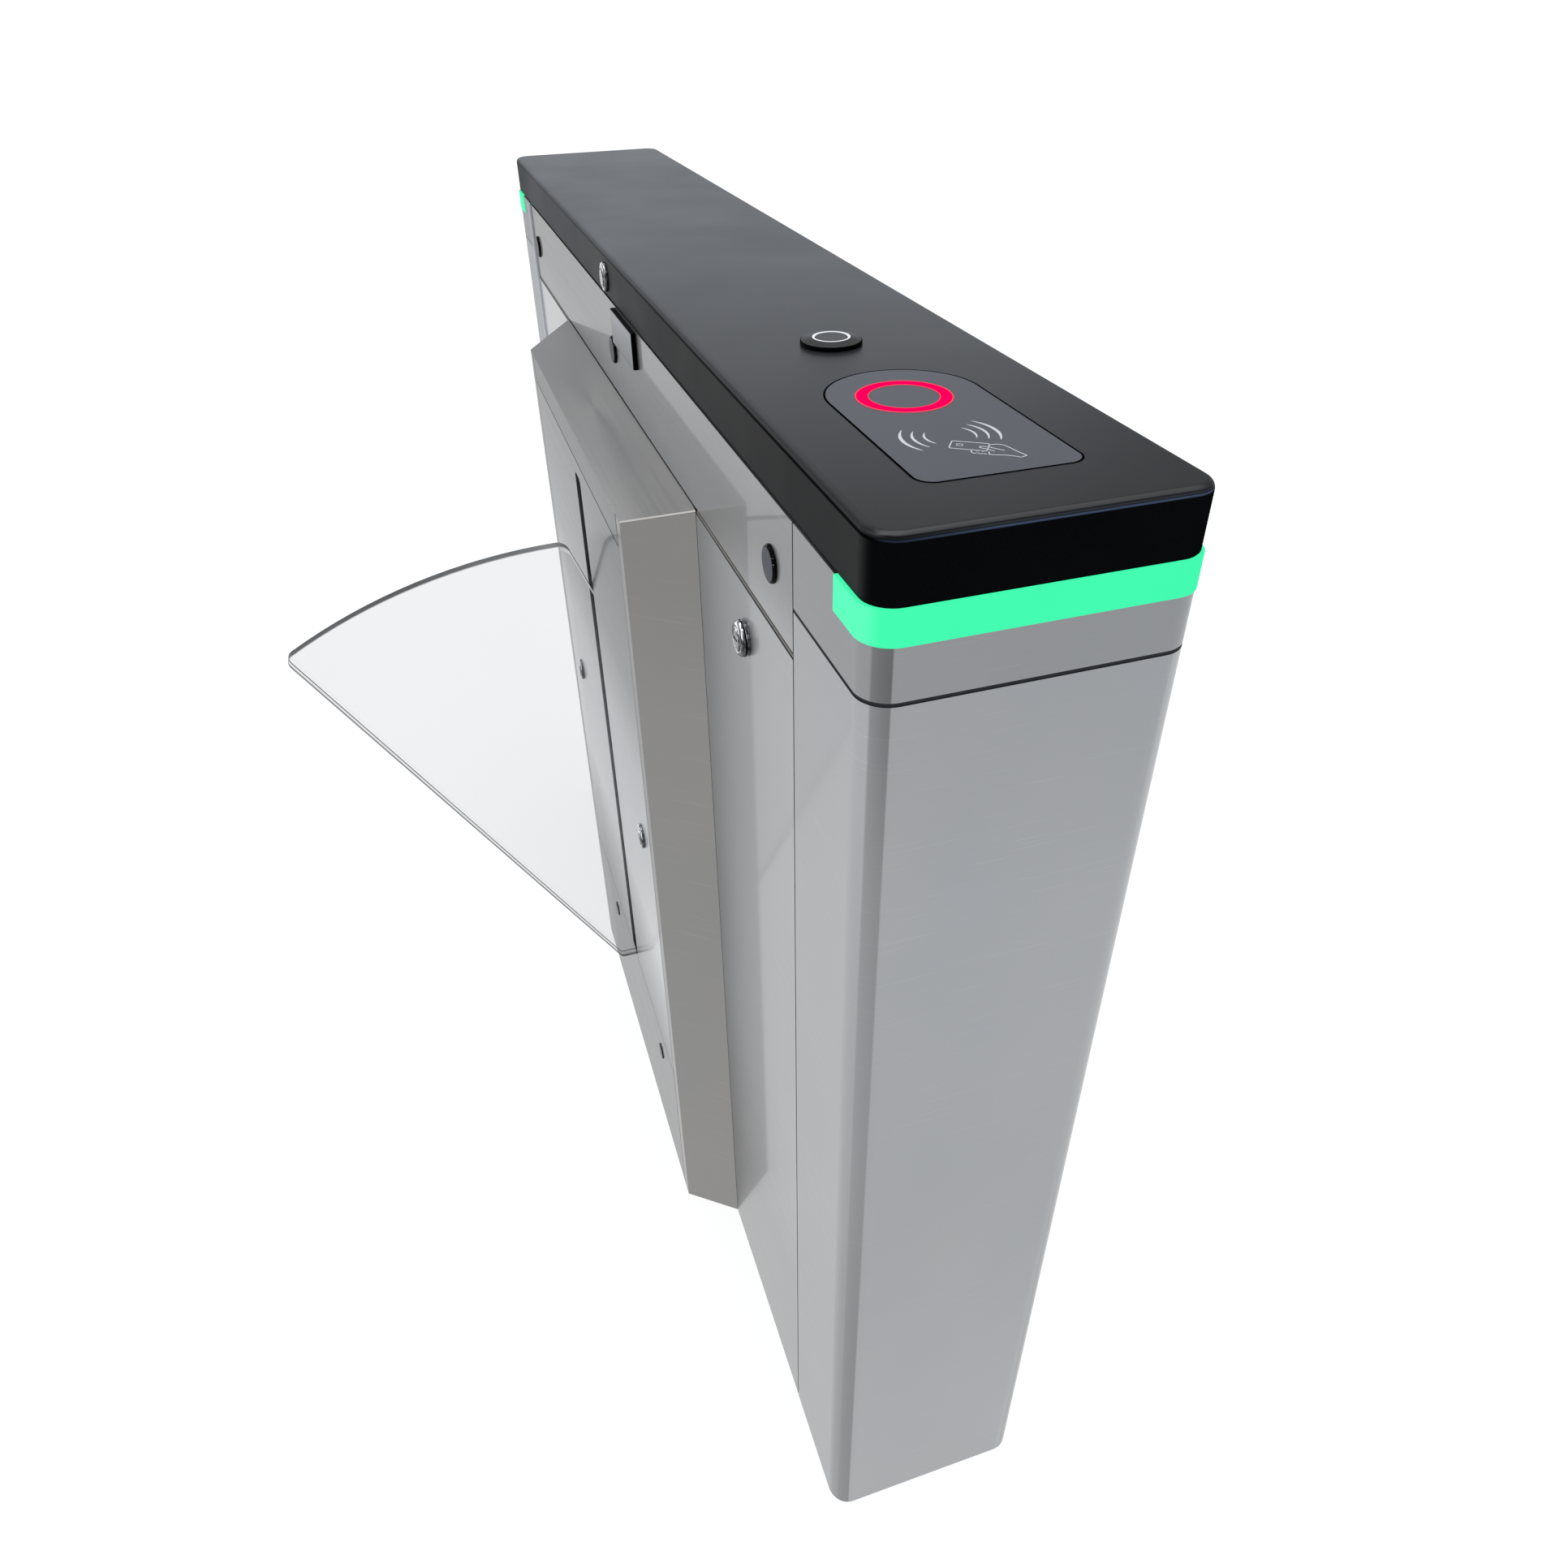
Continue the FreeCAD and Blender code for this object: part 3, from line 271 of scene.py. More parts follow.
def satin(name, hi, lo, rough=0.34, level=0.5, fillets=True):
    """Satin powder coat: the level top catches the light and is painted lighter than the upright faces, which stay near
    black.
    Painted light on the fillets: a cool highlight line along the front edge, a dark shade line along the long edges."""
    g = Mat(name)
    fine = g.noise(g.pos(), 1500.0, 2.0, 0.6)
    broad = g.noise(g.pos(), 9.0, 3.0, 0.55)
    nx, ny, nz = g.split(g.normal())
    px, py, pz = g.split(g.pos())
    wide = g.math("ABSOLUTE", nx)
    long = g.math("ABSOLUTE", ny)
    top = g.rng(nz, 0.66, 0.78, 0.0, 1.0, True) if fillets else g.rng(nz, 0.955, 0.992, 0.0, 1.0, True)
    shading = None
    if fillets:
        sides = g.rng(g.math("SUBTRACT", wide, long), -0.20, 0.30, 0.0, 1.0)
        top = g.mixf(sides, top, g.rng(nz, 0.30, 0.76, 0.0, 1.0, True))
        true = g.n("ShaderNodeNewGeometry")
        up = g.n("ShaderNodeVectorTransform", vector_type="NORMAL", convert_from="OBJECT", convert_to="WORLD")
        up.inputs[0].default_value = (0.0, 0.0, 1.0)
        shading = g.n("ShaderNodeMix", data_type="VECTOR")
        g.put(shading.inputs["Factor"], g.math("MULTIPLY", sides, g.rng(nz, 0.45, 0.74, 0.0, 1.0, True)))
        vec = [q for q in shading.inputs if q.type == "VECTOR" and q.name in ("A", "B")]
        g.put(vec[0], true.outputs["Normal"])
        g.put(vec[1], up.outputs[0])
        shading = [q for q in shading.outputs if q.type == "VECTOR"][0]
    f = g.rng(g.math("ADD", g.math("MULTIPLY", fine, 0.5), g.math("MULTIPLY", broad, 0.5)), 0.35, 0.65, 0.0, 1.0)
    dark = g.mix(f, tuple(0.75 * c for c in lo), tuple(1.25 * c for c in lo))
    upright = g.math("MULTIPLY", g.math("POWER", wide, g.mixf(g.math("GREATER_THAN", nx, 0.0), 10.0, 3.0)), 0.085)
    level_low = upright
    if fillets:
        # painted sheen: the dark paint lighter along the long sides, strongest past the middle
        sheen = g.math("MULTIPLY", g.rng(py, -0.25, 0.28, 0.0, 1.0, True), g.rng(py, 0.44, 0.585, 1.0, 0.0, True))
        dark = g.mix(g.math("MULTIPLY", sheen, g.rng(wide, 0.55, 0.95, 0.0, 1.0)), dark, (0.028, 0.030, 0.036))
        roll = g.rng(nz, 0.10, 0.30, 0.0, 1.0)
        level_low = g.mixf(roll, upright, g.math("MULTIPLY", g.rng(wide, 0.45, 0.95, 0.12, 1.0), 0.06))
        # painted highlight and shade lines along the rolled front edge: dark, grey, dark, cool blue
        painted_edge_lines = g.n("ShaderNodeValToRGB")
        g.put(painted_edge_lines.inputs[0], nz)
        e = painted_edge_lines.color_ramp.elements
        stops = [(0.17, lo), (0.24, (0.046, 0.064, 0.112)), (0.37, (0.046, 0.064, 0.112)), (0.41, (0.015, 0.017, 0.021)), (0.46, (0.016, 0.018, 0.022)),
                 (0.52, (0.031, 0.034, 0.038)), (0.58, (0.030, 0.033, 0.037)), (0.64, (0.012, 0.014, 0.016)), (0.70, (0.012, 0.014, 0.016)), (0.76, hi)]
        while len(e) < len(stops):
            e.new(0.5)
        for k, (at, c) in zip(e, stops):
            k.position = at
            k.color = (*c, 1.0)
        edge = g.math("MULTIPLY", g.rng(long, 0.28, 0.48, 0.0, 1.0, True), g.rng(nz, 0.15, 0.18, 0.0, 1.0))
        edge = g.math("MULTIPLY", edge, g.rng(px, -0.086, -0.03, 0.18, 1.0))
        dark = g.mix(edge, dark, painted_edge_lines.outputs[0])
        level_low = g.math("MULTIPLY", level_low, g.rng(long, 0.30, 0.60, 1.0, 0.0))
        # painted shade: a dark line along the long edges, deepest at the near end
        painted_crease_shade = g.math("MULTIPLY", g.rng(nz, 0.03, 0.14, 0.0, 1.0), g.rng(nz, 0.34, 0.60, 1.0, 0.0))
        painted_crease_shade = g.math("MULTIPLY", g.math("MULTIPLY", painted_crease_shade, sides), g.ramp(g.rng(py, -0.6, 0.6, 0.0, 1.0), [(0.0, 0.97), (0.125, 0.93), (0.29, 0.70), (0.50, 0.34), (0.75, 0.12), (1.0, 0.05)]))
        dark = g.mix(painted_crease_shade, dark, tuple(0.35 * c for c in lo))
        level_low = g.math("MULTIPLY", level_low, g.math("SUBTRACT", 1.0, painted_crease_shade))
    level_top = g.mix(f, tuple(0.8 * c for c in hi), tuple(1.2 * c for c in hi))
    if fillets:
        # painted light: the top lighter and darker along its length
        level_top = g.mix(1.0, level_top, g.ramp(g.rng(py, -0.6, 0.6, 0.0, 1.0), [(0.0, 0.80), (0.06, 0.95), (0.22, 1.40), (0.42, 1.35), (0.62, 1.0), (0.84, 0.62), (1.0, 0.55)]), "MULTIPLY")
    col = g.mix(top, dark, level_top)
    r = g.math("MULTIPLY", g.mixf(top, 0.55, rough), g.rng(broad, 0.3, 0.7, 0.94, 1.06))
    p = g.principled(base_color=col, roughness=r, specular_ior_level=g.mixf(top, level_low, level))
    rough_up = g.bump(fine, 0.08, 0.0002)
    if shading:
        g.put(rough_up.node.inputs["Normal"], shading)
    g.put(p.inputs["Normal"], rough_up)
    return g.finish(p)


M["lid"] = satin("lid_powder_coat", (0.0072, 0.0080, 0.0096), (0.0028, 0.0030, 0.0036))
M["reader"] = paint("reader_cover", (0.080, 0.087, 0.100), 0.46, level=0.35, scale=2200.0, bump=0.05, contrast=0.10)
M["green"] = lamp("green_diffuser", s2l(66, 250, 176), 1.0, (0.004, 0.03, 0.016), flank=s2l(96, 253, 190))
M["red"] = lamp("red_diffuser", s2l(255, 0, 92), 1.0, (0.02, 0.0, 0.002))
M["white"] = lamp("white_diffuser", s2l(232, 238, 245), 1.0, (0.1, 0.1, 0.1))
M["button"] = satin("button_black", (0.0210, 0.0215, 0.0230), (0.0016, 0.0017, 0.0018), 0.36, 0.5, False)


def window():
    """Dark infrared window: a smoky face and a deep black rounded rim with small painted highlights."""
    g = Mat("lens_black")
    nx, ny, nz = g.split(g.normal())
    px, py, pz = g.split(g.pos())
    haze = g.noise(g.scaled(40.0, 40.0, 160.0), 1.0, 3.0, 0.55)
    face = g.rng(g.math("ABSOLUTE", nx), 0.93, 0.99, 0.0, 1.0, True)
    grey = g.mix(g.rng(haze, 0.3, 0.7, 0.0, 1.0), (0.066, 0.071, 0.081), (0.085, 0.092, 0.102))
    # painted highlights: small bright spots on the rim
    painted_glint = g.rng(g.noise(g.pos(), 900.0, 1.0, 0.5), 0.655, 0.71, 0.0, 1.0)
    painted_glint = g.math("MULTIPLY", painted_glint, g.math("MULTIPLY", g.rng(nz, 0.15, 0.30, 0.0, 1.0), g.rng(g.math("ABSOLUTE", nx), 0.35, 0.55, 0.0, 1.0)))
    rim = g.mix(painted_glint, (0.0012, 0.0012, 0.0014), (0.55, 0.55, 0.56))
    p = g.principled(base_color=g.mix(face, rim, grey), roughness=g.rng(haze, 0.3, 0.7, 0.30, 0.36), specular_ior_level=0.03)
    return g.finish(p)


M["lens"] = window()
M["zinc"] = paint("galvanised_frame", (0.30, 0.31, 0.32), 0.42, level=0.5, scale=220.0, bump=0.05, contrast=0.18, metallic=0.8)
M["machined"] = steel("machined_steel", (0.42, 0.42, 0.43), 0.26, contrast=0.10)
M["motor"] = paint("motor_paint", (0.030, 0.032, 0.036), 0.42, scale=900.0)
M["rubber"] = paint("black_rubber", (0.014, 0.014, 0.014), 0.72, level=0.3, scale=700.0, bump=0.15)
M["module"] = paint("module_plastic", (0.045, 0.047, 0.052), 0.5, scale=1600.0, bump=0.12)
M["supply"] = paint("supply_case", (0.42, 0.43, 0.44), 0.36, scale=300.0, bump=0.03, contrast=0.10, metallic=0.9)
M["board"] = paint("circuit_board", (0.012, 0.075, 0.03), 0.4, scale=500.0, bump=0.08)


def chrome():
    """Bright plating with painted reflections: light and dark change quickly with the way the surface turns, a painted
    highlight on faces turned up, painted shade on faces turned down.
    """
    g = Mat("lock_chrome")
    scr = g.noise(g.scaled(40, 900, 900), 1.0, 2.0, 0.6)
    turn = g.noise(g.scaled(1, 1, 1, g.normal()), 3.1, 1.0, 0.5)
    spot = g.noise(g.pos(), 260.0, 2.0, 0.5)
    nx, ny, nz = g.split(g.normal())
    # painted reflections: dark and bright patches by the way the surface turns
    col = g.mix(g.rng(turn, 0.44, 0.56, 0.0, 1.0), (0.060, 0.061, 0.064), (0.72, 0.725, 0.74))
    lit = g.math("ADD", g.math("MULTIPLY", nx, -0.60), g.math("ADD", g.math("MULTIPLY", ny, 0.22), g.math("MULTIPLY", nz, 0.77)))
    shade = g.math("ADD", g.math("MULTIPLY", ny, -0.72), g.math("MULTIPLY", nz, -0.69))
    # painted highlight on faces turned up
    col = g.mix(g.rng(lit, 0.76, 0.92, 0.0, 1.0), col, (0.95, 0.95, 0.96))
    # painted shade on faces turned down
    col = g.mix(g.rng(shade, 0.18, 0.50, 0.0, 0.9), col, (0.014, 0.014, 0.016))
    col = g.mix(g.math("MULTIPLY", g.rng(spot, 0.5, 0.7, 0.0, 1.0), 0.25), col, (0.34, 0.34, 0.35))
    p = g.principled(base_color=col, metallic=1.0, roughness=g.rng(scr, 0.3, 0.7, 0.06, 0.14))
    return g.finish(p)


def badge():
    """Blank plate: brushed grey face with painted shade darker towards the bottom, thick black edges."""
    g = Mat("badge_face")
    nx, ny, nz = g.split(g.normal())
    px, py, pz = g.split(g.pos())
    face = g.rng(nx, -0.95, -0.85, 1.0, 0.0)
    streak = g.noise(g.scaled(3, 3, 900), 1.0, 2.0, 0.6)
    grey = g.mix(g.rng(streak, 0.3, 0.7, 0.0, 1.0), (0.190, 0.200, 0.222), (0.214, 0.224, 0.247))
    # painted shade: the face darker towards the bottom
    grey = g.mix(1.0, grey, g.ramp(g.rng(pz, 0.913, 0.943, 0.0, 1.0), [(0.0, 0.66), (1.0, 1.10)]), "MULTIPLY")
    hem = g.math("MAXIMUM", g.rng(pz, 0.9145, 0.9152, 1.0, 0.0), g.rng(py, -0.0217, -0.0210, 0.0, 1.0))
    hem = g.math("MAXIMUM", hem, g.rng(pz, 0.9405, 0.9412, 0.0, 0.6))
    grey = g.mix(hem, grey, (0.042, 0.044, 0.048))
    col = g.mix(face, (0.006, 0.006, 0.007), grey)
    col = g.mix(1.0, col, g.mix(face, (0.12, 0.12, 0.12), (1.0, 1.0, 1.0)), "MULTIPLY")
    p = g.principled(base_color=col, metallic=g.math("MULTIPLY", face, 0.85), roughness=g.mixf(face, 0.35, 0.33), specular_ior_level=0.02)
    return g.finish(p)


def acrylic():
    """Clear panel: nearly invisible faces, grey sawn edges with painted shade darker towards the tip that read as clear
    from inside, chamfers painted bright facing up and dark facing down, and a painted highlight along the slanting
    inner edge.
    """
    g = Mat("flap_acrylic")
    geo = g.n("ShaderNodeNewGeometry")
    back = geo.outputs["Backfacing"]
    nx, ny, nz = g.split(g.normal())
    across = g.math("ABSOLUTE", ny)
    smear = g.rng(g.noise(g.scaled(6, 6, 4), 1.0, 3.0, 0.5), 0.3, 0.7, 0.0, 1.0)
    saw = g.rng(g.noise(g.scaled(60, 900, 60), 1.0, 2.0, 0.5), 0.3, 0.7, 0.0, 1.0)
    clear = g.n("ShaderNodeBsdfTransparent")
    g.put(clear.inputs[0], g.mix(smear, (0.900, 0.902, 0.904), (0.907, 0.908, 0.910)))
    gloss = g.principled(base_color=(0.85, 0.86, 0.87), metallic=1.0, roughness=g.mixf(smear, 0.02, 0.05))
    lw = g.n("ShaderNodeLayerWeight")
    lw.inputs["Blend"].default_value = 0.5
    share = g.math("MULTIPLY_ADD", g.math("POWER", lw.outputs["Facing"], 5.0), 0.9, 0.04)
    face = g.n("ShaderNodeMixShader")
    g.put(face.inputs[0], share)
    g.put(face.inputs[1], clear.outputs[0])
    g.put(face.inputs[2], gloss.outputs[0])
    px, py, pz = g.split(g.pos())
    # painted shade: the sawn edge darker towards the tip
    painted_rim_shade = g.ramp(g.rng(px, -0.43, -0.15, 0.0, 1.0), [(0.0, 0.048), (0.46, 0.082), (0.82, 0.17), (1.0, 0.30)])
    grain = g.mix(saw, (0.78, 0.80, 0.83), (1.18, 1.20, 1.22))
    rim = g.principled(base_color=g.mix(1.0, g.mix(1.0, grain, painted_rim_shade, "MULTIPLY"), (1.0, 1.0, 1.0), "MULTIPLY"), roughness=0.3, specular_ior_level=0.12)
    through = g.n("ShaderNodeBsdfTransparent")
    veil = g.mixf(g.rng(py, -0.0315, -0.0300, 0.0, 1.0), 0.22, 0.80)
    g.put(through.inputs[0], g.mix(1.0, g.mix(saw, (0.94, 0.95, 0.96), (1.0, 1.0, 1.0)), veil, "MULTIPLY"))
    edge = g.n("ShaderNodeMixShader")
    g.put(edge.inputs[0], back)
    g.put(edge.inputs[1], rim.outputs[0])
    g.put(edge.inputs[2], through.outputs[0])
    # painted light and shade: chamfers bright facing up, dark facing down
    lit = g.rng(g.math("MULTIPLY", nz, g.math("MULTIPLY_ADD", back, -2.0, 1.0)), -0.2, 0.2, 0.0, 1.0)
    cut = g.principled(base_color=g.mix(lit, (0.09, 0.092, 0.095), (0.36, 0.365, 0.37)), roughness=0.25, specular_ior_level=0.2)
    outer = g.n("ShaderNodeMixShader")
    g.put(outer.inputs[0], g.rng(across, 0.35, 0.55, 0.0, 1.0))
    g.put(outer.inputs[1], edge.outputs[0])
    g.put(outer.inputs[2], cut.outputs[0])
    both = g.n("ShaderNodeMixShader")
    g.put(both.inputs[0], g.rng(across, 0.88, 0.97, 0.0, 1.0))
    g.put(both.inputs[1], outer.outputs[0])
    g.put(both.inputs[2], face.outputs[0])
    # painted highlight: the slanting inner edge shows as a pale, faintly glowing ribbon along the front of the panel
    d1 = g.math("ADD", g.math("MULTIPLY", g.math("ADD", px, 0.1595), -0.9319), g.math("MULTIPLY", g.math("SUBTRACT", pz, 0.7423), -0.3626))
    d2 = g.math("ADD", g.math("MULTIPLY", g.math("ADD", px, 0.1595), 0.105), g.math("MULTIPLY", g.math("SUBTRACT", pz, 0.7423), -0.9945))
    c1, c2 = (g.math("MAXIMUM", g.math("SUBTRACT", 0.013, q), 0.0) for q in (d1, d2))
    inset = g.math("SUBTRACT", 0.013, g.math("SQRT", g.math("ADD", g.math("MULTIPLY", c1, c1), g.math("MULTIPLY", c2, c2))))
    ribbon = g.math("MULTIPLY", g.rng(inset, 0.0009, 0.0016, 1.0, 0.0), g.math("MULTIPLY", g.rng(ny, -0.5, -0.3, 1.0, 0.0), g.math("SUBTRACT", 1.0, back)))
    ribbon = g.math("MULTIPLY", ribbon, g.math("MULTIPLY", g.rng(px, -0.168, -0.158, 0.0, 1.0), g.rng(pz, 0.60, 0.64, 0.0, 1.0)))
    pale = g.principled(base_color=g.mix(saw, (0.62, 0.64, 0.66), (0.70, 0.72, 0.74)), roughness=0.4, specular_ior_level=0.2, emission_color=(0.93, 0.96, 1.0), emission_strength=0.22)
    last = g.n("ShaderNodeMixShader")
    g.put(last.inputs[0], ribbon)
    g.put(last.inputs[1], both.outputs[0])
    g.put(last.inputs[2], pale.outputs[0])
    return g.finish(last)


M["chrome"] = chrome()
M["badge"] = badge()
M["acrylic"] = acrylic()
M["ink"] = paint("panel_ink", (0.62, 0.64, 0.66), 0.55, level=0.3, scale=3000.0, bump=0.02, contrast=0.06)

WEAR = {
    "front_end_cover": "steel_end", "rear_end_cover": "steel_rear", "front_upper_cover": "steel_end", "rear_upper_cover": "steel_rear",
    "left_upper_panel": "steel_upper_shaded", "right_upper_panel": "steel_upper_shaded", "front_door": "steel_side", "rear_door": "steel_side",
    "housing_front_cover": "steel_slant_shaded", "housing_rear_cover": "steel_slant_shaded", "housing_top_cover": "steel_top",
    "housing_lower_panel": "steel_slot", "slot_door": "steel_slot", "right_front_panel": "steel_side", "right_rear_panel": "steel_side",
    "right_housing": "steel_side",
    "base_plate": "zinc", "frame_posts": "zinc", "frame_rails": "zinc", "door_catches": "zinc", "lid_keeper": "zinc", "drive_bracket": "zinc",
    "lid_shell": "lid", "reader_panel": "reader", "reader_ring": "red", "front_light_band": "green", "rear_light_band": "green",
    "button_bezel": "button", "button_cap": "button", "button_light_ring": "white",
    "upper_sensor_lenses": "lens", "lower_sensor_lenses": "lens", "badge_plate": "badge",
    "front_lock_body": "chrome", "rear_lock_body": "chrome", "lid_lock_body": "chrome", "slot_lock_bodies": "chrome",
    "front_lock_plug": "chrome", "rear_lock_plug": "chrome", "lid_lock_plug": "chrome", "slot_lock_plug_front": "chrome", "slot_lock_plug_rear": "chrome",
    "flap_panel": "acrylic",
    "flap_clamps": "machined", "clamp_bolts": "machined", "pivot_shaft": "machined", "sector_gear": "machined", "drive_pinion": "machined",
    "pivot_bearings": "machined", "hinge_leaves_fixed": "machined", "hinge_leaves_lid": "machined", "hinge_pins": "machined",
    "gearmotor": "motor", "swing_bumpers": "rubber", "cable_grommet": "rubber", "controller_box": "module", "sensor_modules": "module",
    "reader_module": "module", "power_supply": "supply", "led_boards": "board",
}
for name, ob in NODES.items():
    ob.data.materials.clear()
    ob.data.materials.append(M[WEAR[name]])

# ------------------------------------------------------------------ detail pieces


def piece(name, verts, faces, mat, body, slot, smooth=False):
    """One mesh piece in metres that rides on a CAD body."""
    me = bpy.data.meshes.new(name)
    me.from_pydata([tuple(v) for v in verts], [], faces)
    me.update()
    bm = bmesh.new()
    bm.from_mesh(me)
    bmesh.ops.remove_doubles(bm, verts=bm.verts, dist=1e-7)
    bmesh.ops.recalc_face_normals(bm, faces=bm.faces)
    bm.to_mesh(me)
    bm.free()
    if smooth:
        me.polygons.foreach_set("use_smooth", [True] * len(me.polygons))
    me.materials.append(M[mat])
    ob = bpy.data.objects.new(name, me)
    bpy.context.scene.collection.objects.link(ob)
    if smooth:
        me.set_sharp_from_angle(angle=math.radians(32))
    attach(ob, body)
    return ob


def join(*parts):
    """Several (verts, faces) lists as one."""
    V, F = [], []
    for v, f in parts:
        k = len(V)
        V += list(v)
        F += [tuple(i + k for i in q) for q in f]
    return V, F


def lathe(origin, axis, profile, seg=48, closed=False):
    """Profile of (radius, height) in mm turned about axis through origin (mm); closed joins last to first."""
    o, w = Vector(origin), Vector(axis).normalized()
    u = w.orthogonal().normalized()
    v = w.cross(u)
    V, F = [], []
    for i in range(seg):
        a = 2 * math.pi * i / seg
        d = u * math.cos(a) + v * math.sin(a)
        V += [(o + d * r + w * h) * MM for r, h in profile]
    n = len(profile)
    last = n if closed else n - 1
    for i in range(seg):
        j = (i + 1) % seg
        for k in range(last):
            k2 = (k + 1) % n
            F.append((i * n + k, j * n + k, j * n + k2, i * n + k2))
    return V, F


def block(x0, x1, y0, y1, z0, z1, ch=0.0):
    """Box in mm with chamfered edges all round."""
    bm = bmesh.new()
    bmesh.ops.create_cube(bm, size=1.0)
    for q in bm.verts:
        q.co = Vector((x0 + (q.co.x + 0.5) * (x1 - x0), y0 + (q.co.y + 0.5) * (y1 - y0), z0 + (q.co.z + 0.5) * (z1 - z0)))
    if ch:
        bmesh.ops.bevel(bm, geom=list(bm.edges), offset=ch, segments=2, affect="EDGES", profile=0.5)
    bm.verts.ensure_lookup_table()
    V = [q.co * MM for q in bm.verts]
    F = [tuple(q.index for q in f.verts) for f in bm.faces]
    bm.free()
    return V, F


def ribbon(pts, widths, z0, z1):
    """Flat printed stroke along pts (mm, level), with its width given at each point."""
    V, F = [], []
    n = len(pts)
    for i, (x, y) in enumerate(pts):
        a = pts[max(0, i - 1)]
        b = pts[min(n - 1, i + 1)]
        t = Vector((b[0] - a[0], b[1] - a[1])).normalized()
        nx, ny = -t.y, t.x
        w = widths[i] / 2
        V += [Vector((x + nx * w, y + ny * w, z1)) * MM, Vector((x - nx * w, y - ny * w, z1)) * MM,
              Vector((x - nx * w, y - ny * w, z0)) * MM, Vector((x + nx * w, y + ny * w, z0)) * MM]
    for i in range(n - 1):
        p, q = 4 * i, 4 * i + 4
        F += [(p, p + 1, q + 1, q), (p + 1, p + 2, q + 2, q + 1), (p + 2, p + 3, q + 3, q + 2), (p + 3, p, q, q + 3)]
    e = 4 * (n - 1)
    F += [(0, 3, 2, 1), (e, e + 1, e + 2, e + 3)]
    return V, F


def smooth_line(ctrl, per=7):
    """Catmull-Rom points through ctrl."""
    out = []
    c = [ctrl[0]] + list(ctrl) + [ctrl[-1]]
    for i in range(1, len(c) - 2):
        p0, p1, p2, p3 = (Vector((*c[j], 0)) for j in (i - 1, i, i + 1, i + 2))
        for k in range(per):
            t = k / per
            q = 0.5 * ((2 * p1) + (p2 - p0) * t + (2 * p0 - 5 * p1 + 4 * p2 - p3) * t * t + (3 * p1 - p0 - 3 * p2 + p3) * t ** 3)
            out.append((q.x, q.y))
    out.append(tuple(ctrl[-1]))
    return out


# card pictogram on the reader panel: waves at both sides, a card and a simple hand
PZ0, PZ1 = 980.14, 980.26
strokes = []
for r, w in ((26.0, 1.7), (19.8, 1.35), (13.6, 1.05)):
    for a0, a1 in ((141, 214), (-33, 40)):
        n = 22
        pts = [(-6 + r * math.cos(math.radians(a0 + (a1 - a0) * i / n)), -496 + r * math.sin(math.radians(a0 + (a1 - a0) * i / n))) for i in range(n + 1)]
        strokes.append(ribbon(pts, [0.25 + w * math.sin(math.pi * i / n) ** 0.8 for i in range(n + 1)], PZ0, PZ1))
LW = 0.62


def stroke(ctrl, per=7, width=LW):
    pts = smooth_line(ctrl, per)
    strokes.append(ribbon(pts, [width] * len(pts), PZ0, PZ1))


cu, cv = Vector((0.83, -0.557)), Vector((0.557, 0.83))
cc = Vector((-3.1, -512.5))


def card(a, b):
    q = cc + cu * a + cv * b
    return (q.x, q.y)


outline = []
HL, HW, RC = 9.6, 5.3, 1.3
for sx, sy, a0 in ((1, 1, 0), (-1, 1, 90), (-1, -1, 180), (1, -1, 270)):
    for i in range(6):
        t = math.radians(a0 + 18 * i)
        outline.append(card(sx * (HL - RC) + RC * math.cos(t), sy * (HW - RC) + RC * math.sin(t)))
outline.append(outline[0])
outline.append(outline[1])
strokes.append(ribbon(outline, [LW] * len(outline), PZ0, PZ1))
stroke([card(-6.4, 1.6), card(-3.4, 1.6), card(-3.4, -0.8), card(-6.4, -0.8), card(-6.4, 1.6)], per=1, width=0.5)
stroke([card(9.9, 4.0), card(13.5, 5.6), card(17.5, 4.6), card(24.5, -2.2), card(29.5, -6.4)])
stroke([card(29.5, -6.4), card(27.2, -9.6)], per=3)
stroke([card(27.2, -9.6), card(20.5, -8.6), card(14.0, -9.4), card(10.0, -9.2)])
for k in range(3):
    b0 = card(9.8 - 3.1 * k, -8.9 + 0.5 * k)
    stroke([card(10.6 - 3.0 * k, -6.0), card(11.2 - 3.0 * k, -8.6), card(9.6 - 3.0 * k, -9.6), card(8.2 - 3.0 * k, -8.2), card(8.0 - 3.0 * k, -6.0)], per=5, width=0.55)
stroke([card(18.0, -2.4), card(13.6, -0.8), card(8.4, 0.9), card(5.6, 0.6), card(5.8, -1.3), card(9.6, -2.6), card(13.4, -4.6)])
piece("card_pictogram", *join(*strokes), "ink", "lid", "white_light")

# black gasket in the gap round the reader panel
M["gasket"] = paint("gasket_black", (0.0012, 0.0012, 0.0013), 0.8, level=0.0, scale=700.0, bump=0.1)
def reader_loop(grow, n=40):
    xc, hx, yf, r = -1.2, 45.1 + grow, -550.1 - grow, 10.0 + grow
    out = [(xc + hx * math.cos(math.pi * i / n), -425.2 + hx * math.sin(math.pi * i / n)) for i in range(n + 1)]
    for cx, a0 in ((xc - hx + r, 180), (xc + hx - r, 270)):
        out += [(cx + r * math.cos(math.radians(a0 + 9 * i)), yf + r + r * math.sin(math.radians(a0 + 9 * i))) for i in range(11)]
    return out


def loop_band(inner, outer, z0, z1):
    n = len(inner)
    V = [Vector((x, y, z)) * MM for z, ring in ((z1, inner), (z1, outer), (z0, outer), (z0, inner)) for x, y in ring]
    F = []
    for i in range(n):
        j = (i + 1) % n
        F += [(k * n + i, k * n + j, (k + 1) % 4 * n + j, (k + 1) % 4 * n + i) for k in range(4)]
    return V, F


piece("reader_gasket", *loop_band(reader_loop(-0.35), reader_loop(1.05), 978.6, 980.12), "gasket", "lid", "black_rubber")

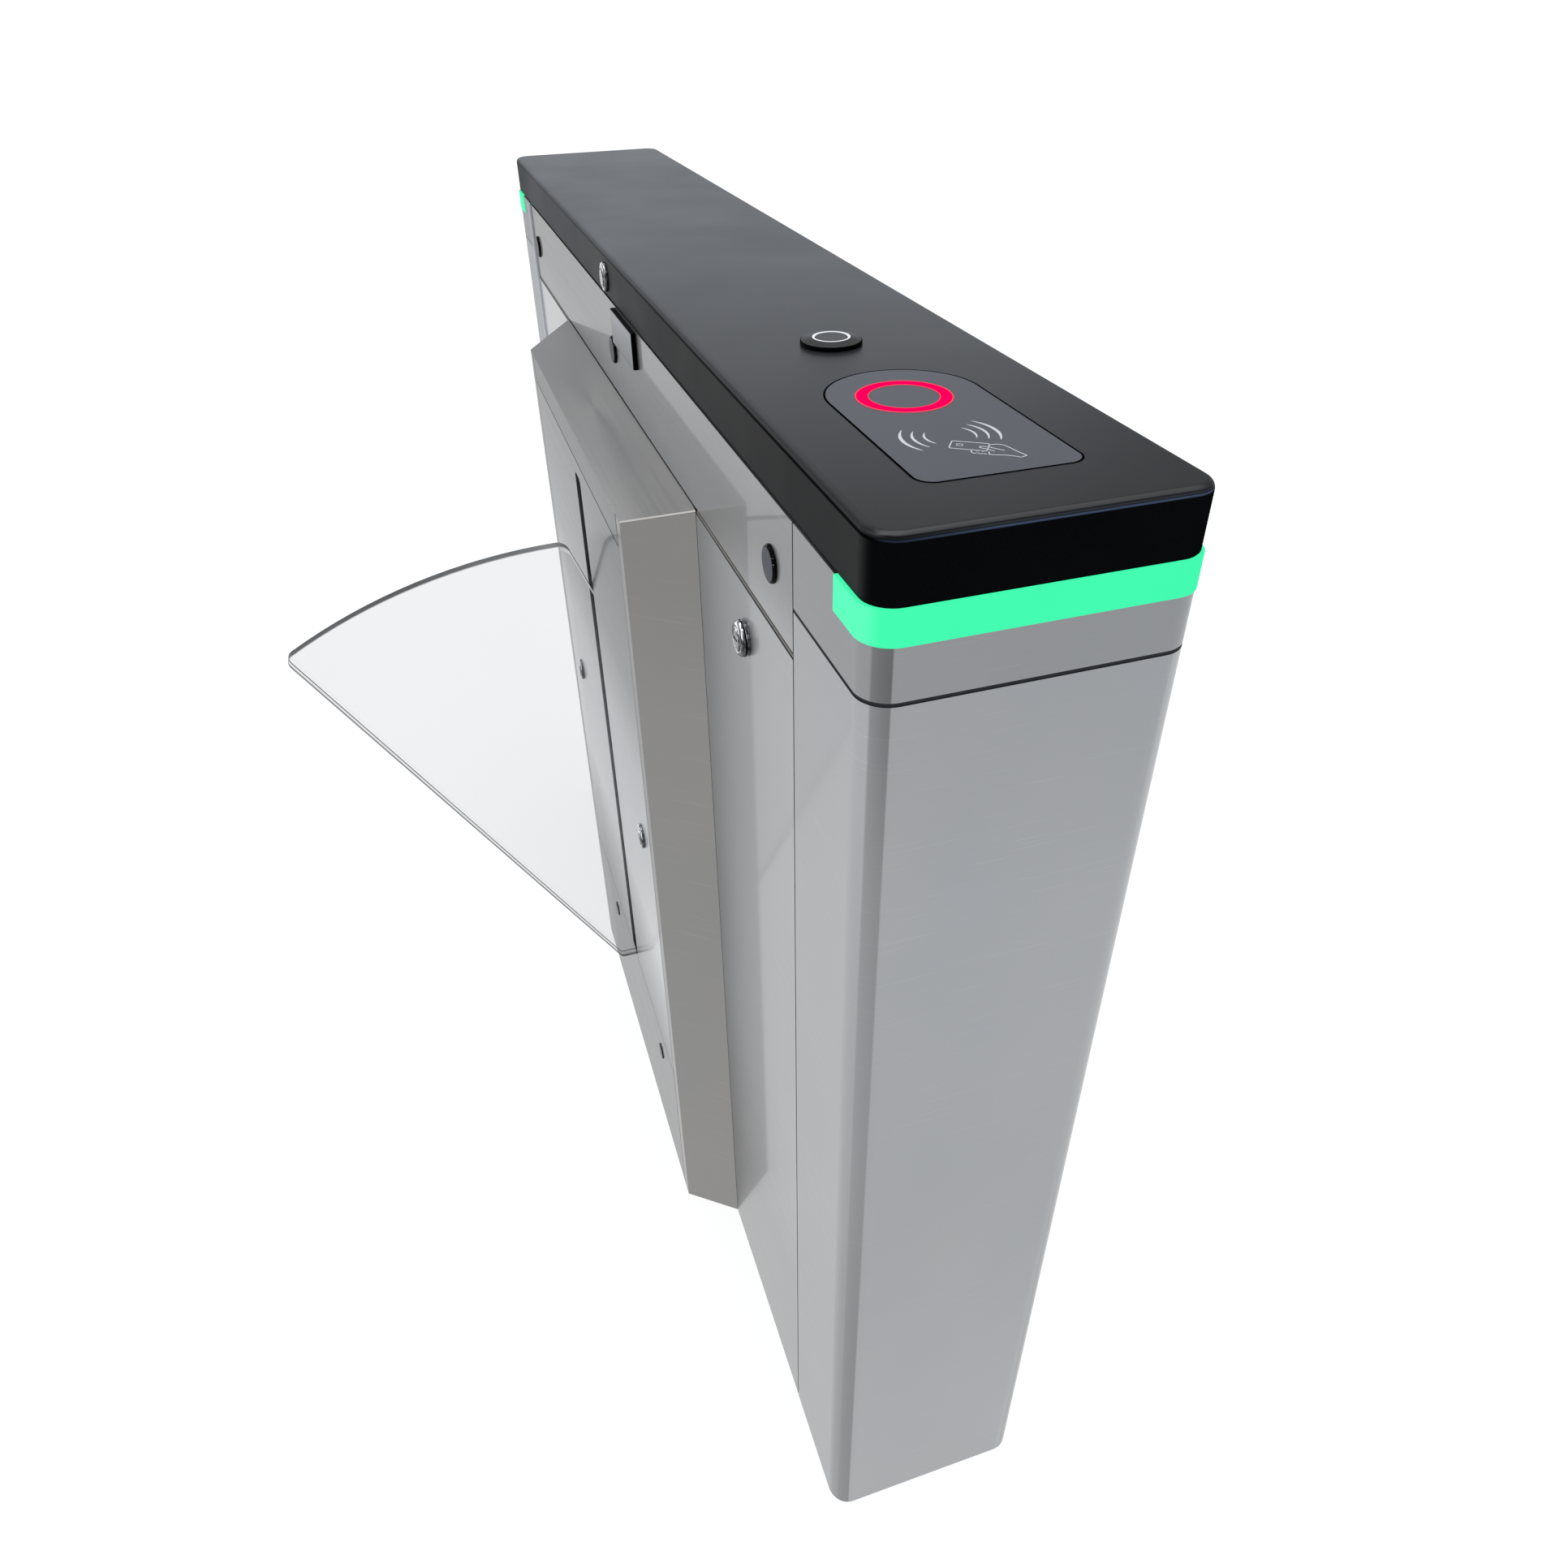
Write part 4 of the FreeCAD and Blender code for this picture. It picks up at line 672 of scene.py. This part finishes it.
# thin lit edges of the reader ring
M["red_edge"] = lamp("red_edge", s2l(255, 92, 96), 1.0, (0.03, 0.005, 0.005))
piece("reader_ring_edges", *join(
    lathe((-3.2, -429.1, 0), (0, 0, 1), [(27.1, 980.32), (27.8, 980.32), (27.8, 980.46), (27.1, 980.46)], 96, True),
    lathe((-3.2, -429.1, 0), (0, 0, 1), [(20.1, 980.32), (20.55, 980.32), (20.55, 980.46), (20.1, 980.46)], 96, True)), "red_edge", "lid", "red_light", True)

# polished rims on the cam locks: a rolled edge, a groove and an inner collar; black rings in the groove and under the
# rolled edge are painted shadow
RIM = [(11.55, 0.0), (11.9, 0.35), (11.9, 1.7), (11.55, 2.5), (10.8, 3.1), (9.9, 3.35), (9.2, 3.25), (8.9, 2.75), (8.55, 2.75), (8.3, 3.5), (7.7, 3.95), (7.1, 3.85), (6.75, 3.3), (6.75, 0.5), (6.75, 0.0)]


def lock_rim(name, origin, body):
    piece(name + "_groove_shadow", *join(
        lathe(origin, (-1, 0, 0), [(8.45, 2.6), (9.0, 2.6), (9.0, 2.95), (8.45, 2.95)], 56, True),
        lathe(origin, (-1, 0, 0), [(11.6, 1.35), (12.0, 1.35), (12.0, 1.75), (11.6, 1.75)], 56, True)), "rubber", body, "black_rubber", True)
    return piece(name, *lathe(origin, (-1, 0, 0), RIM, 56, True), "chrome", body, "lock_chrome", True)


# the service doors carry a taller lock: a rounded collar, a joint and a domed front ring; black rings in the joint and
# in the groove of the front ring are painted shadow
TALL = [(12.05, 0.0), (12.4, 0.4), (12.4, 2.1), (12.1, 2.5), (12.1, 2.9), (12.35, 3.3), (12.2, 4.3), (11.6, 5.4), (10.6, 6.1), (9.6, 6.3), (9.1, 6.05), (8.8, 5.6), (8.5, 5.6), (8.3, 6.4), (7.7, 6.85), (7.1, 6.75), (6.75, 6.2), (6.75, 0.5), (6.75, 0.0)]


def tall_rim(name, origin, body):
    piece(name + "_groove_shadow", *join(
        lathe(origin, (-1, 0, 0), [(8.4, 5.45), (8.95, 5.45), (8.95, 5.8), (8.4, 5.8)], 56, True),
        lathe(origin, (-1, 0, 0), [(12.0, 2.4), (12.42, 2.4), (12.42, 3.0), (12.0, 3.0)], 56, True)), "gasket", body, "black_rubber", True)
    return piece(name, *lathe(origin, (-1, 0, 0), TALL, 64, True), "chrome", body, "lock_chrome", True)


for name, y, z in (("front", -393.8, 823.0), ("rear", 356.0, 806.0)):
    tall_rim(name + "_lock_rim", (-91, y, z), name + "_door")
lock_rim("slot_lock_rim_front", (-140, -180.4, 503.0), "slot_door")
lock_rim("slot_lock_rim_rear", (-140, 146, 503.0), "slot_door")
lock_rim("lid_lock_rim", (-90, 14, 959.3), "lid")

# folded frame edge seen through the gap over the service doors; its dark brownish colour is painted shade in the gap
M["gap_edge"] = paint("gap_edge", (0.160, 0.150, 0.132), 0.6, level=0.2, scale=400.0, bump=0.05, contrast=0.2)
piece("door_gap_edge", *join(block(-90.6, -88.4, -490.5, -275.5, 860.8, 863.1, 0.2), block(-90.6, -88.4, 275.5, 490.5, 860.8, 863.1, 0.2),
    block(88.4, 90.4, -490.5, -275.5, 860.8, 864.2, 0.2), block(88.4, 90.4, 275.5, 490.5, 860.8, 864.2, 0.2)), "gap_edge", "cabinet", "galvanised_frame")

# folded lips and seam strips: the far edge of the end cover, the joint between the end covers, the frame of the slot door
M["seam"] = paint("seam_strip", (0.205, 0.218, 0.240), 0.45, level=0.3, scale=600.0, bump=0.05, contrast=0.12)
# painted light: the far lip is coloured much lighter than the cover steel, against the shade beside the panel
M["far_lip"] = paint("far_lip", (0.60, 0.63, 0.67), 0.45, level=0.3, scale=600.0, bump=0.05, contrast=0.10)
M["seam_dark"] = paint("seam_shadow", (0.016, 0.018, 0.022), 0.6, level=0.2, scale=600.0, bump=0.05, contrast=0.15)
piece("rear_cover_lip", *join(block(-93.3, -89.6, 491.5, 494.3, 6.0, 943.0, 0.3), block(89.6, 93.3, 491.5, 494.3, 6.0, 943.0, 0.3)), "far_lip", "cabinet", "brushed_steel_sheet")
piece("slot_frame_strip", *join(
    block(-140.12, -138.9, -219.6, -217.5, 199.0, 844.5, 0.1), block(-140.12, -138.9, 217.5, 219.6, 199.0, 844.5, 0.1),
    block(-140.12, -138.9, -217.4, 217.4, 196.0, 197.8, 0.1)), "seam", "cabinet", "brushed_steel_sheet")
# painted shadow: a dark strip in the joint over the slot door and up the strip beside it
piece("slot_door_joint", *join(
    block(-140.05, -138.9, -217.4, 217.4, 817.1, 818.5, 0.1), block(-140.2, -138.9, -219.3, -218.3, 818.0, 844.8, 0.1), block(-140.2, -138.9, 218.3, 219.3, 818.0, 844.8, 0.1)), "seam_dark", "cabinet", "black_rubber")


def end_ring(inset, deep, z0, z1, end):
    """Band round one end of the cabinet, set in by inset, from the joint with the side panels round both corners."""
    hx, hy, r = 91.0 - inset, 600.0 - inset, 18.0 - inset
    def path(hx, hy, r):
        out = [(-hx, 492.9)]
        for cx, a0 in ((-hx + r, 180), (hx - r, 90)):
            out += [(cx + r * math.cos(math.radians(a0 - 10 * i)), hy - r + r * math.sin(math.radians(a0 - 10 * i))) for i in range(10)]
        return out + [(hx, 492.9)]
    a, b = path(hx, hy, r), path(hx - deep, hy - deep, r - deep)
    n = len(a)
    V = [Vector((x, y * end, z)) * MM for z, ring in ((z1, b), (z1, a), (z0, a), (z0, b)) for x, y in ring]
    F = [(k * n + i, k * n + i + 1, (k + 1) % 4 * n + i + 1, (k + 1) % 4 * n + i) for i in range(n - 1) for k in range(4)]
    return V, F + [(0, n, 2 * n, 3 * n), (n - 1, 4 * n - 1, 3 * n - 1, 2 * n - 1)]


# joint between the end covers, a dark strip of painted shadow at the front end, and the black seal under the lid over
# each light band
piece("front_cover_joint", *end_ring(0.7, 2.0, 891.1, 893.9, -1), "seam_dark", "cabinet", "black_rubber", True)
piece("rear_cover_joint", *end_ring(0.35, 2.0, 891.1, 893.9, 1), "seam", "cabinet", "brushed_steel_sheet", True)
piece("light_band_seal", *join(end_ring(1.6, 3.0, 943.55, 944.35, -1), end_ring(1.6, 3.0, 943.55, 944.35, 1)), "gasket", "cabinet", "black_rubber", True)

# domed screws in the hinge leaves
HEAD = [(0.0, 0.5), (1.1, 0.5), (1.35, 1.25), (2.4, 1.2), (3.2, 0.85), (3.6, 0.3), (3.6, -0.2)]
for name, x, z, body in (("hinge_screws_fixed", 92.8, 926, "cabinet"), ("hinge_screws_lid", 91.8, 960, "lid")):
    piece(name, *join(*[lathe((x, yc + dy, z), (1, 0, 0), HEAD, 28) for yc in (-400, 400) for dy in (-20, 0, 20)]), "machined", body, "machined_steel", True)

# inside: terminal rows on the controller and the supply, ribs on the motor, the aerial under the reader
M["terminal"] = paint("terminal_block", (0.018, 0.17, 0.062), 0.42, scale=1800.0, bump=0.06, contrast=0.12)
M["copper"] = paint("aerial_copper", (0.42, 0.17, 0.075), 0.34, scale=900.0, bump=0.04, contrast=0.12, metallic=0.9)
M["nylon"] = paint("connector_nylon", (0.52, 0.51, 0.47), 0.5, scale=1500.0, bump=0.05, contrast=0.06)
PIN = [(0.0, 0.35), (0.5, 0.35), (0.7, 0.8), (1.5, 0.7), (1.9, 0.3), (1.9, -0.3)]


def terminal_row(x, y0, n, pitch, z, deep, tall):
    """Row of screw terminals standing out of a face towards -X: stepped blocks and their screws."""
    blocks, screws = [], []
    for i in range(n):
        y = y0 + pitch * (i + 0.5)
        blocks.append(block(x - deep, x + 0.3, y - 0.47 * pitch, y + 0.47 * pitch, z - tall / 2, z + tall * 0.12, 0.5))
        blocks.append(block(x - deep * 0.6, x + 0.3, y - 0.47 * pitch, y + 0.47 * pitch, z + tall * 0.1, z + tall / 2, 0.5))
        screws.append(lathe((x - deep * 0.6, y, z + tall * 0.3), (-1, 0, 0), PIN, 16))
    return blocks, screws


upper, s1 = terminal_row(50, -452, 18, 7.3, 566, 9, 18)
lower, s2 = terminal_row(50, -452, 18, 7.3, 352, 9, 18)
supply, s3 = terminal_row(52, 326, 10, 12.4, 272, 9, 20)
piece("controller_terminals", *join(*upper, *lower), "terminal", "cabinet", "circuit_board")
piece("supply_terminals", *join(*supply), "rubber", "cabinet", "black_rubber")
piece("terminal_screws", *join(*s1, *s2, *s3), "machined", "cabinet", "machined_steel", True)
piece("controller_cover", *join(block(48.6, 50.3, -446, -326, 384, 536, 0.8), *[block(47.9, 49.0, -440 + 9 * i, -436 + 9 * i, 396, 470, 0.35) for i in range(12)]), "module", "cabinet", "module_plastic")
piece("motor_ribs", *join(*[lathe((-11.9, 82 + 6 * i, 128), (0, 1, 0), [(28.7, 0.0), (31.2, 0.3), (31.2, 1.7), (28.7, 2.0)], 56, True) for i in range(15)]), "motor", "cabinet", "motor_paint", True)
piece("motor_gland", *lathe((-11.9, 152, 161), (0, 1, 0), [(7.2, -0.3), (7.2, 3.6), (6.4, 4.2), (6.4, 8.6), (5.0, 10.8), (3.0, 10.8), (3.0, -0.3)], 24, True), "rubber", "cabinet", "black_rubber", True)
coil = []
for k in range(7):
    hx, hy = 45.0 - 3.2 * k, 69.0 - 3.2 * k
    coil += [(-hx, -470 - hy), (hx, -470 - hy), (hx, -470 + hy), (-hx, -470 + hy), (-hx, -470 - hy + 3.2)]
piece("reader_aerial", *ribbon(coil, [1.3] * len(coil), 963.75, 964.05), "copper", "lid", "circuit_board")
piece("reader_connector", *join(block(-9, 9, -424, -414, 958.6, 964.2, 0.5), *[block(-6.6 + 3.4 * i, -4.6 + 3.4 * i, -422.4, -419.8, 957.6, 959.0, 0.2) for i in range(4)]), "nylon", "lid", "module_plastic")

# ------------------------------------------------------------------ stage


def plane(name, size, z):
    me = bpy.data.meshes.new(name)
    h = size / 2
    me.from_pydata([(-h, -h, z), (h, -h, z), (h, h, z), (-h, h, z)], [], [(0, 1, 2, 3)])
    ob = bpy.data.objects.new(name, me)
    bpy.context.scene.collection.objects.link(ob)
    return ob


floor = plane("studio_floor", 900.0, -0.0004)
g = Mat("pale_floor")
cl = g.noise(g.pos(), 1.3, 2.0, 0.5)
tone = g.mix(g.rng(cl, 0.3, 0.7, 0.0, 1.0), (0.215, 0.217, 0.22), (0.225, 0.226, 0.228))
floor.data.materials.append(g.finish(g.principled(base_color=tone, roughness=0.9, specular_ior_level=0.0, emission_color=(1.0, 1.0, 1.0), emission_strength=0.86)))

world = bpy.data.worlds.new("studio")
bpy.context.scene.world = world
world.use_nodes = True
wt = world.node_tree
wt.nodes.clear()
wo = wt.nodes.new("ShaderNodeOutputWorld")
bg = wt.nodes.new("ShaderNodeBackground")
tc = wt.nodes.new("ShaderNodeTexCoord")
sp = wt.nodes.new("ShaderNodeSeparateXYZ")
rp = wt.nodes.new("ShaderNodeValToRGB")
wt.links.new(tc.outputs["Generated"], sp.inputs[0])
wt.links.new(sp.outputs["Z"], rp.inputs[0])
# a darker stretch of room to the right of the far end
mr = wt.nodes.new("ShaderNodeMapRange")
mr.interpolation_type = "SMOOTHSTEP"
wt.links.new(sp.outputs["X"], mr.inputs["Value"])
for k, x in (("From Min", 0.44), ("From Max", 0.62), ("To Min", 0.0), ("To Max", 0.6)):
    mr.inputs[k].default_value = x
mz = wt.nodes.new("ShaderNodeMapRange")
wt.links.new(sp.outputs["Z"], mz.inputs["Value"])
for k, x in (("From Min", 0.50), ("From Max", 0.64), ("To Min", 1.0), ("To Max", 0.0)):
    mz.inputs[k].default_value = x
mf = wt.nodes.new("ShaderNodeMath")
mf.operation = "MULTIPLY"
wt.links.new(mr.outputs["Result"], mf.inputs[0])
wt.links.new(mz.outputs["Result"], mf.inputs[1])
mx = wt.nodes.new("ShaderNodeMix")
mx.data_type = "RGBA"
wt.links.new(mf.outputs[0], mx.inputs["Factor"])
wt.links.new(rp.outputs[0], mx.inputs["A"])
mx.inputs["B"].default_value = (0.03, 0.032, 0.035, 1.0)
wt.links.new(mx.outputs["Result"], bg.inputs["Color"])
wt.links.new(bg.outputs[0], wo.inputs["Surface"])
ramp = [(0.0, 1.05), (0.05, 1.05), (0.11, 0.92), (0.15, 0.91), (0.195, 0.97), (0.25, 0.80), (0.31, 0.51), (0.38, 0.22), (0.46, 0.05), (0.60, 0.32), (0.74, 1.20), (1.0, 1.5)]
while len(rp.color_ramp.elements) < len(ramp):
    rp.color_ramp.elements.new(0.5)
for e, (p_, v_) in zip(rp.color_ramp.elements, ramp):
    e.position = p_
    cool = 1.0 if p_ < 0.35 else 0.35
    e.color = (v_ * (1 - 0.055 * cool), v_, v_ * (1 + 0.07 * cool), 1.0)
bg.inputs["Strength"].default_value = 1.0


def area(name, loc, target, sx, sy, power, colour=(1, 1, 1)):
    li = bpy.data.lights.new(name, "AREA")
    li.shape = "RECTANGLE"
    li.size, li.size_y = sx, sy
    li.energy = power
    li.color = colour
    ob = bpy.data.objects.new(name, li)
    bpy.context.scene.collection.objects.link(ob)
    ob.location = loc
    d = Vector(target) - Vector(loc)
    ob.rotation_euler = d.to_track_quat("-Z", "Y").to_euler()
    return ob


area("soft_top", (-0.3, 0.2, 4.0), (0, 0, 0), 3.0, 3.0, 22.0)
area("soft_left", (-3.2, -1.8, 2.4), (0, 0, 0.5), 2.4, 2.0, 14.0)
area("soft_right", (3.2, -1.8, 2.6), (0, 0, 0.5), 2.2, 2.0, 12.0, (0.97, 0.985, 1.0))

# ------------------------------------------------------------------ camera
cam = bpy.data.cameras.new("photo_camera")
co = bpy.data.objects.new("photo_camera", cam)
bpy.context.scene.collection.objects.link(co)
yaw, pitch, roll = (math.radians(a) for a in (16.9975, 36.1506, -1.2322))
fwd = Vector((math.sin(yaw) * math.cos(pitch), math.cos(yaw) * math.cos(pitch), -math.sin(pitch)))
right = Vector((math.cos(yaw), -math.sin(yaw), 0))
up = right.cross(fwd)
R = right * math.cos(roll) + up * math.sin(roll)
U = up * math.cos(roll) - right * math.sin(roll)
mw = Matrix.Identity(4)
for i in range(3):
    mw[i][0], mw[i][1], mw[i][2] = R[i], U[i], -fwd[i]
mw[0][3], mw[1][3], mw[2][3] = -0.26526, -1.01554, 1.18636
co.matrix_world = mw
cam.sensor_fit = "HORIZONTAL"
cam.sensor_width = 36.0
cam.lens = 36.0 * 1391.4 / 1932.0
cam.shift_x, cam.shift_y = 0.00792, -0.00823
cam.clip_start, cam.clip_end = 0.02, 2000.0
cam.dof.use_dof = False
bpy.context.scene.camera = co
vs = bpy.context.scene.view_settings
vs.view_transform = "Standard"
vs.look = "None"
vs.exposure = 0.0
vs.gamma = 1.0
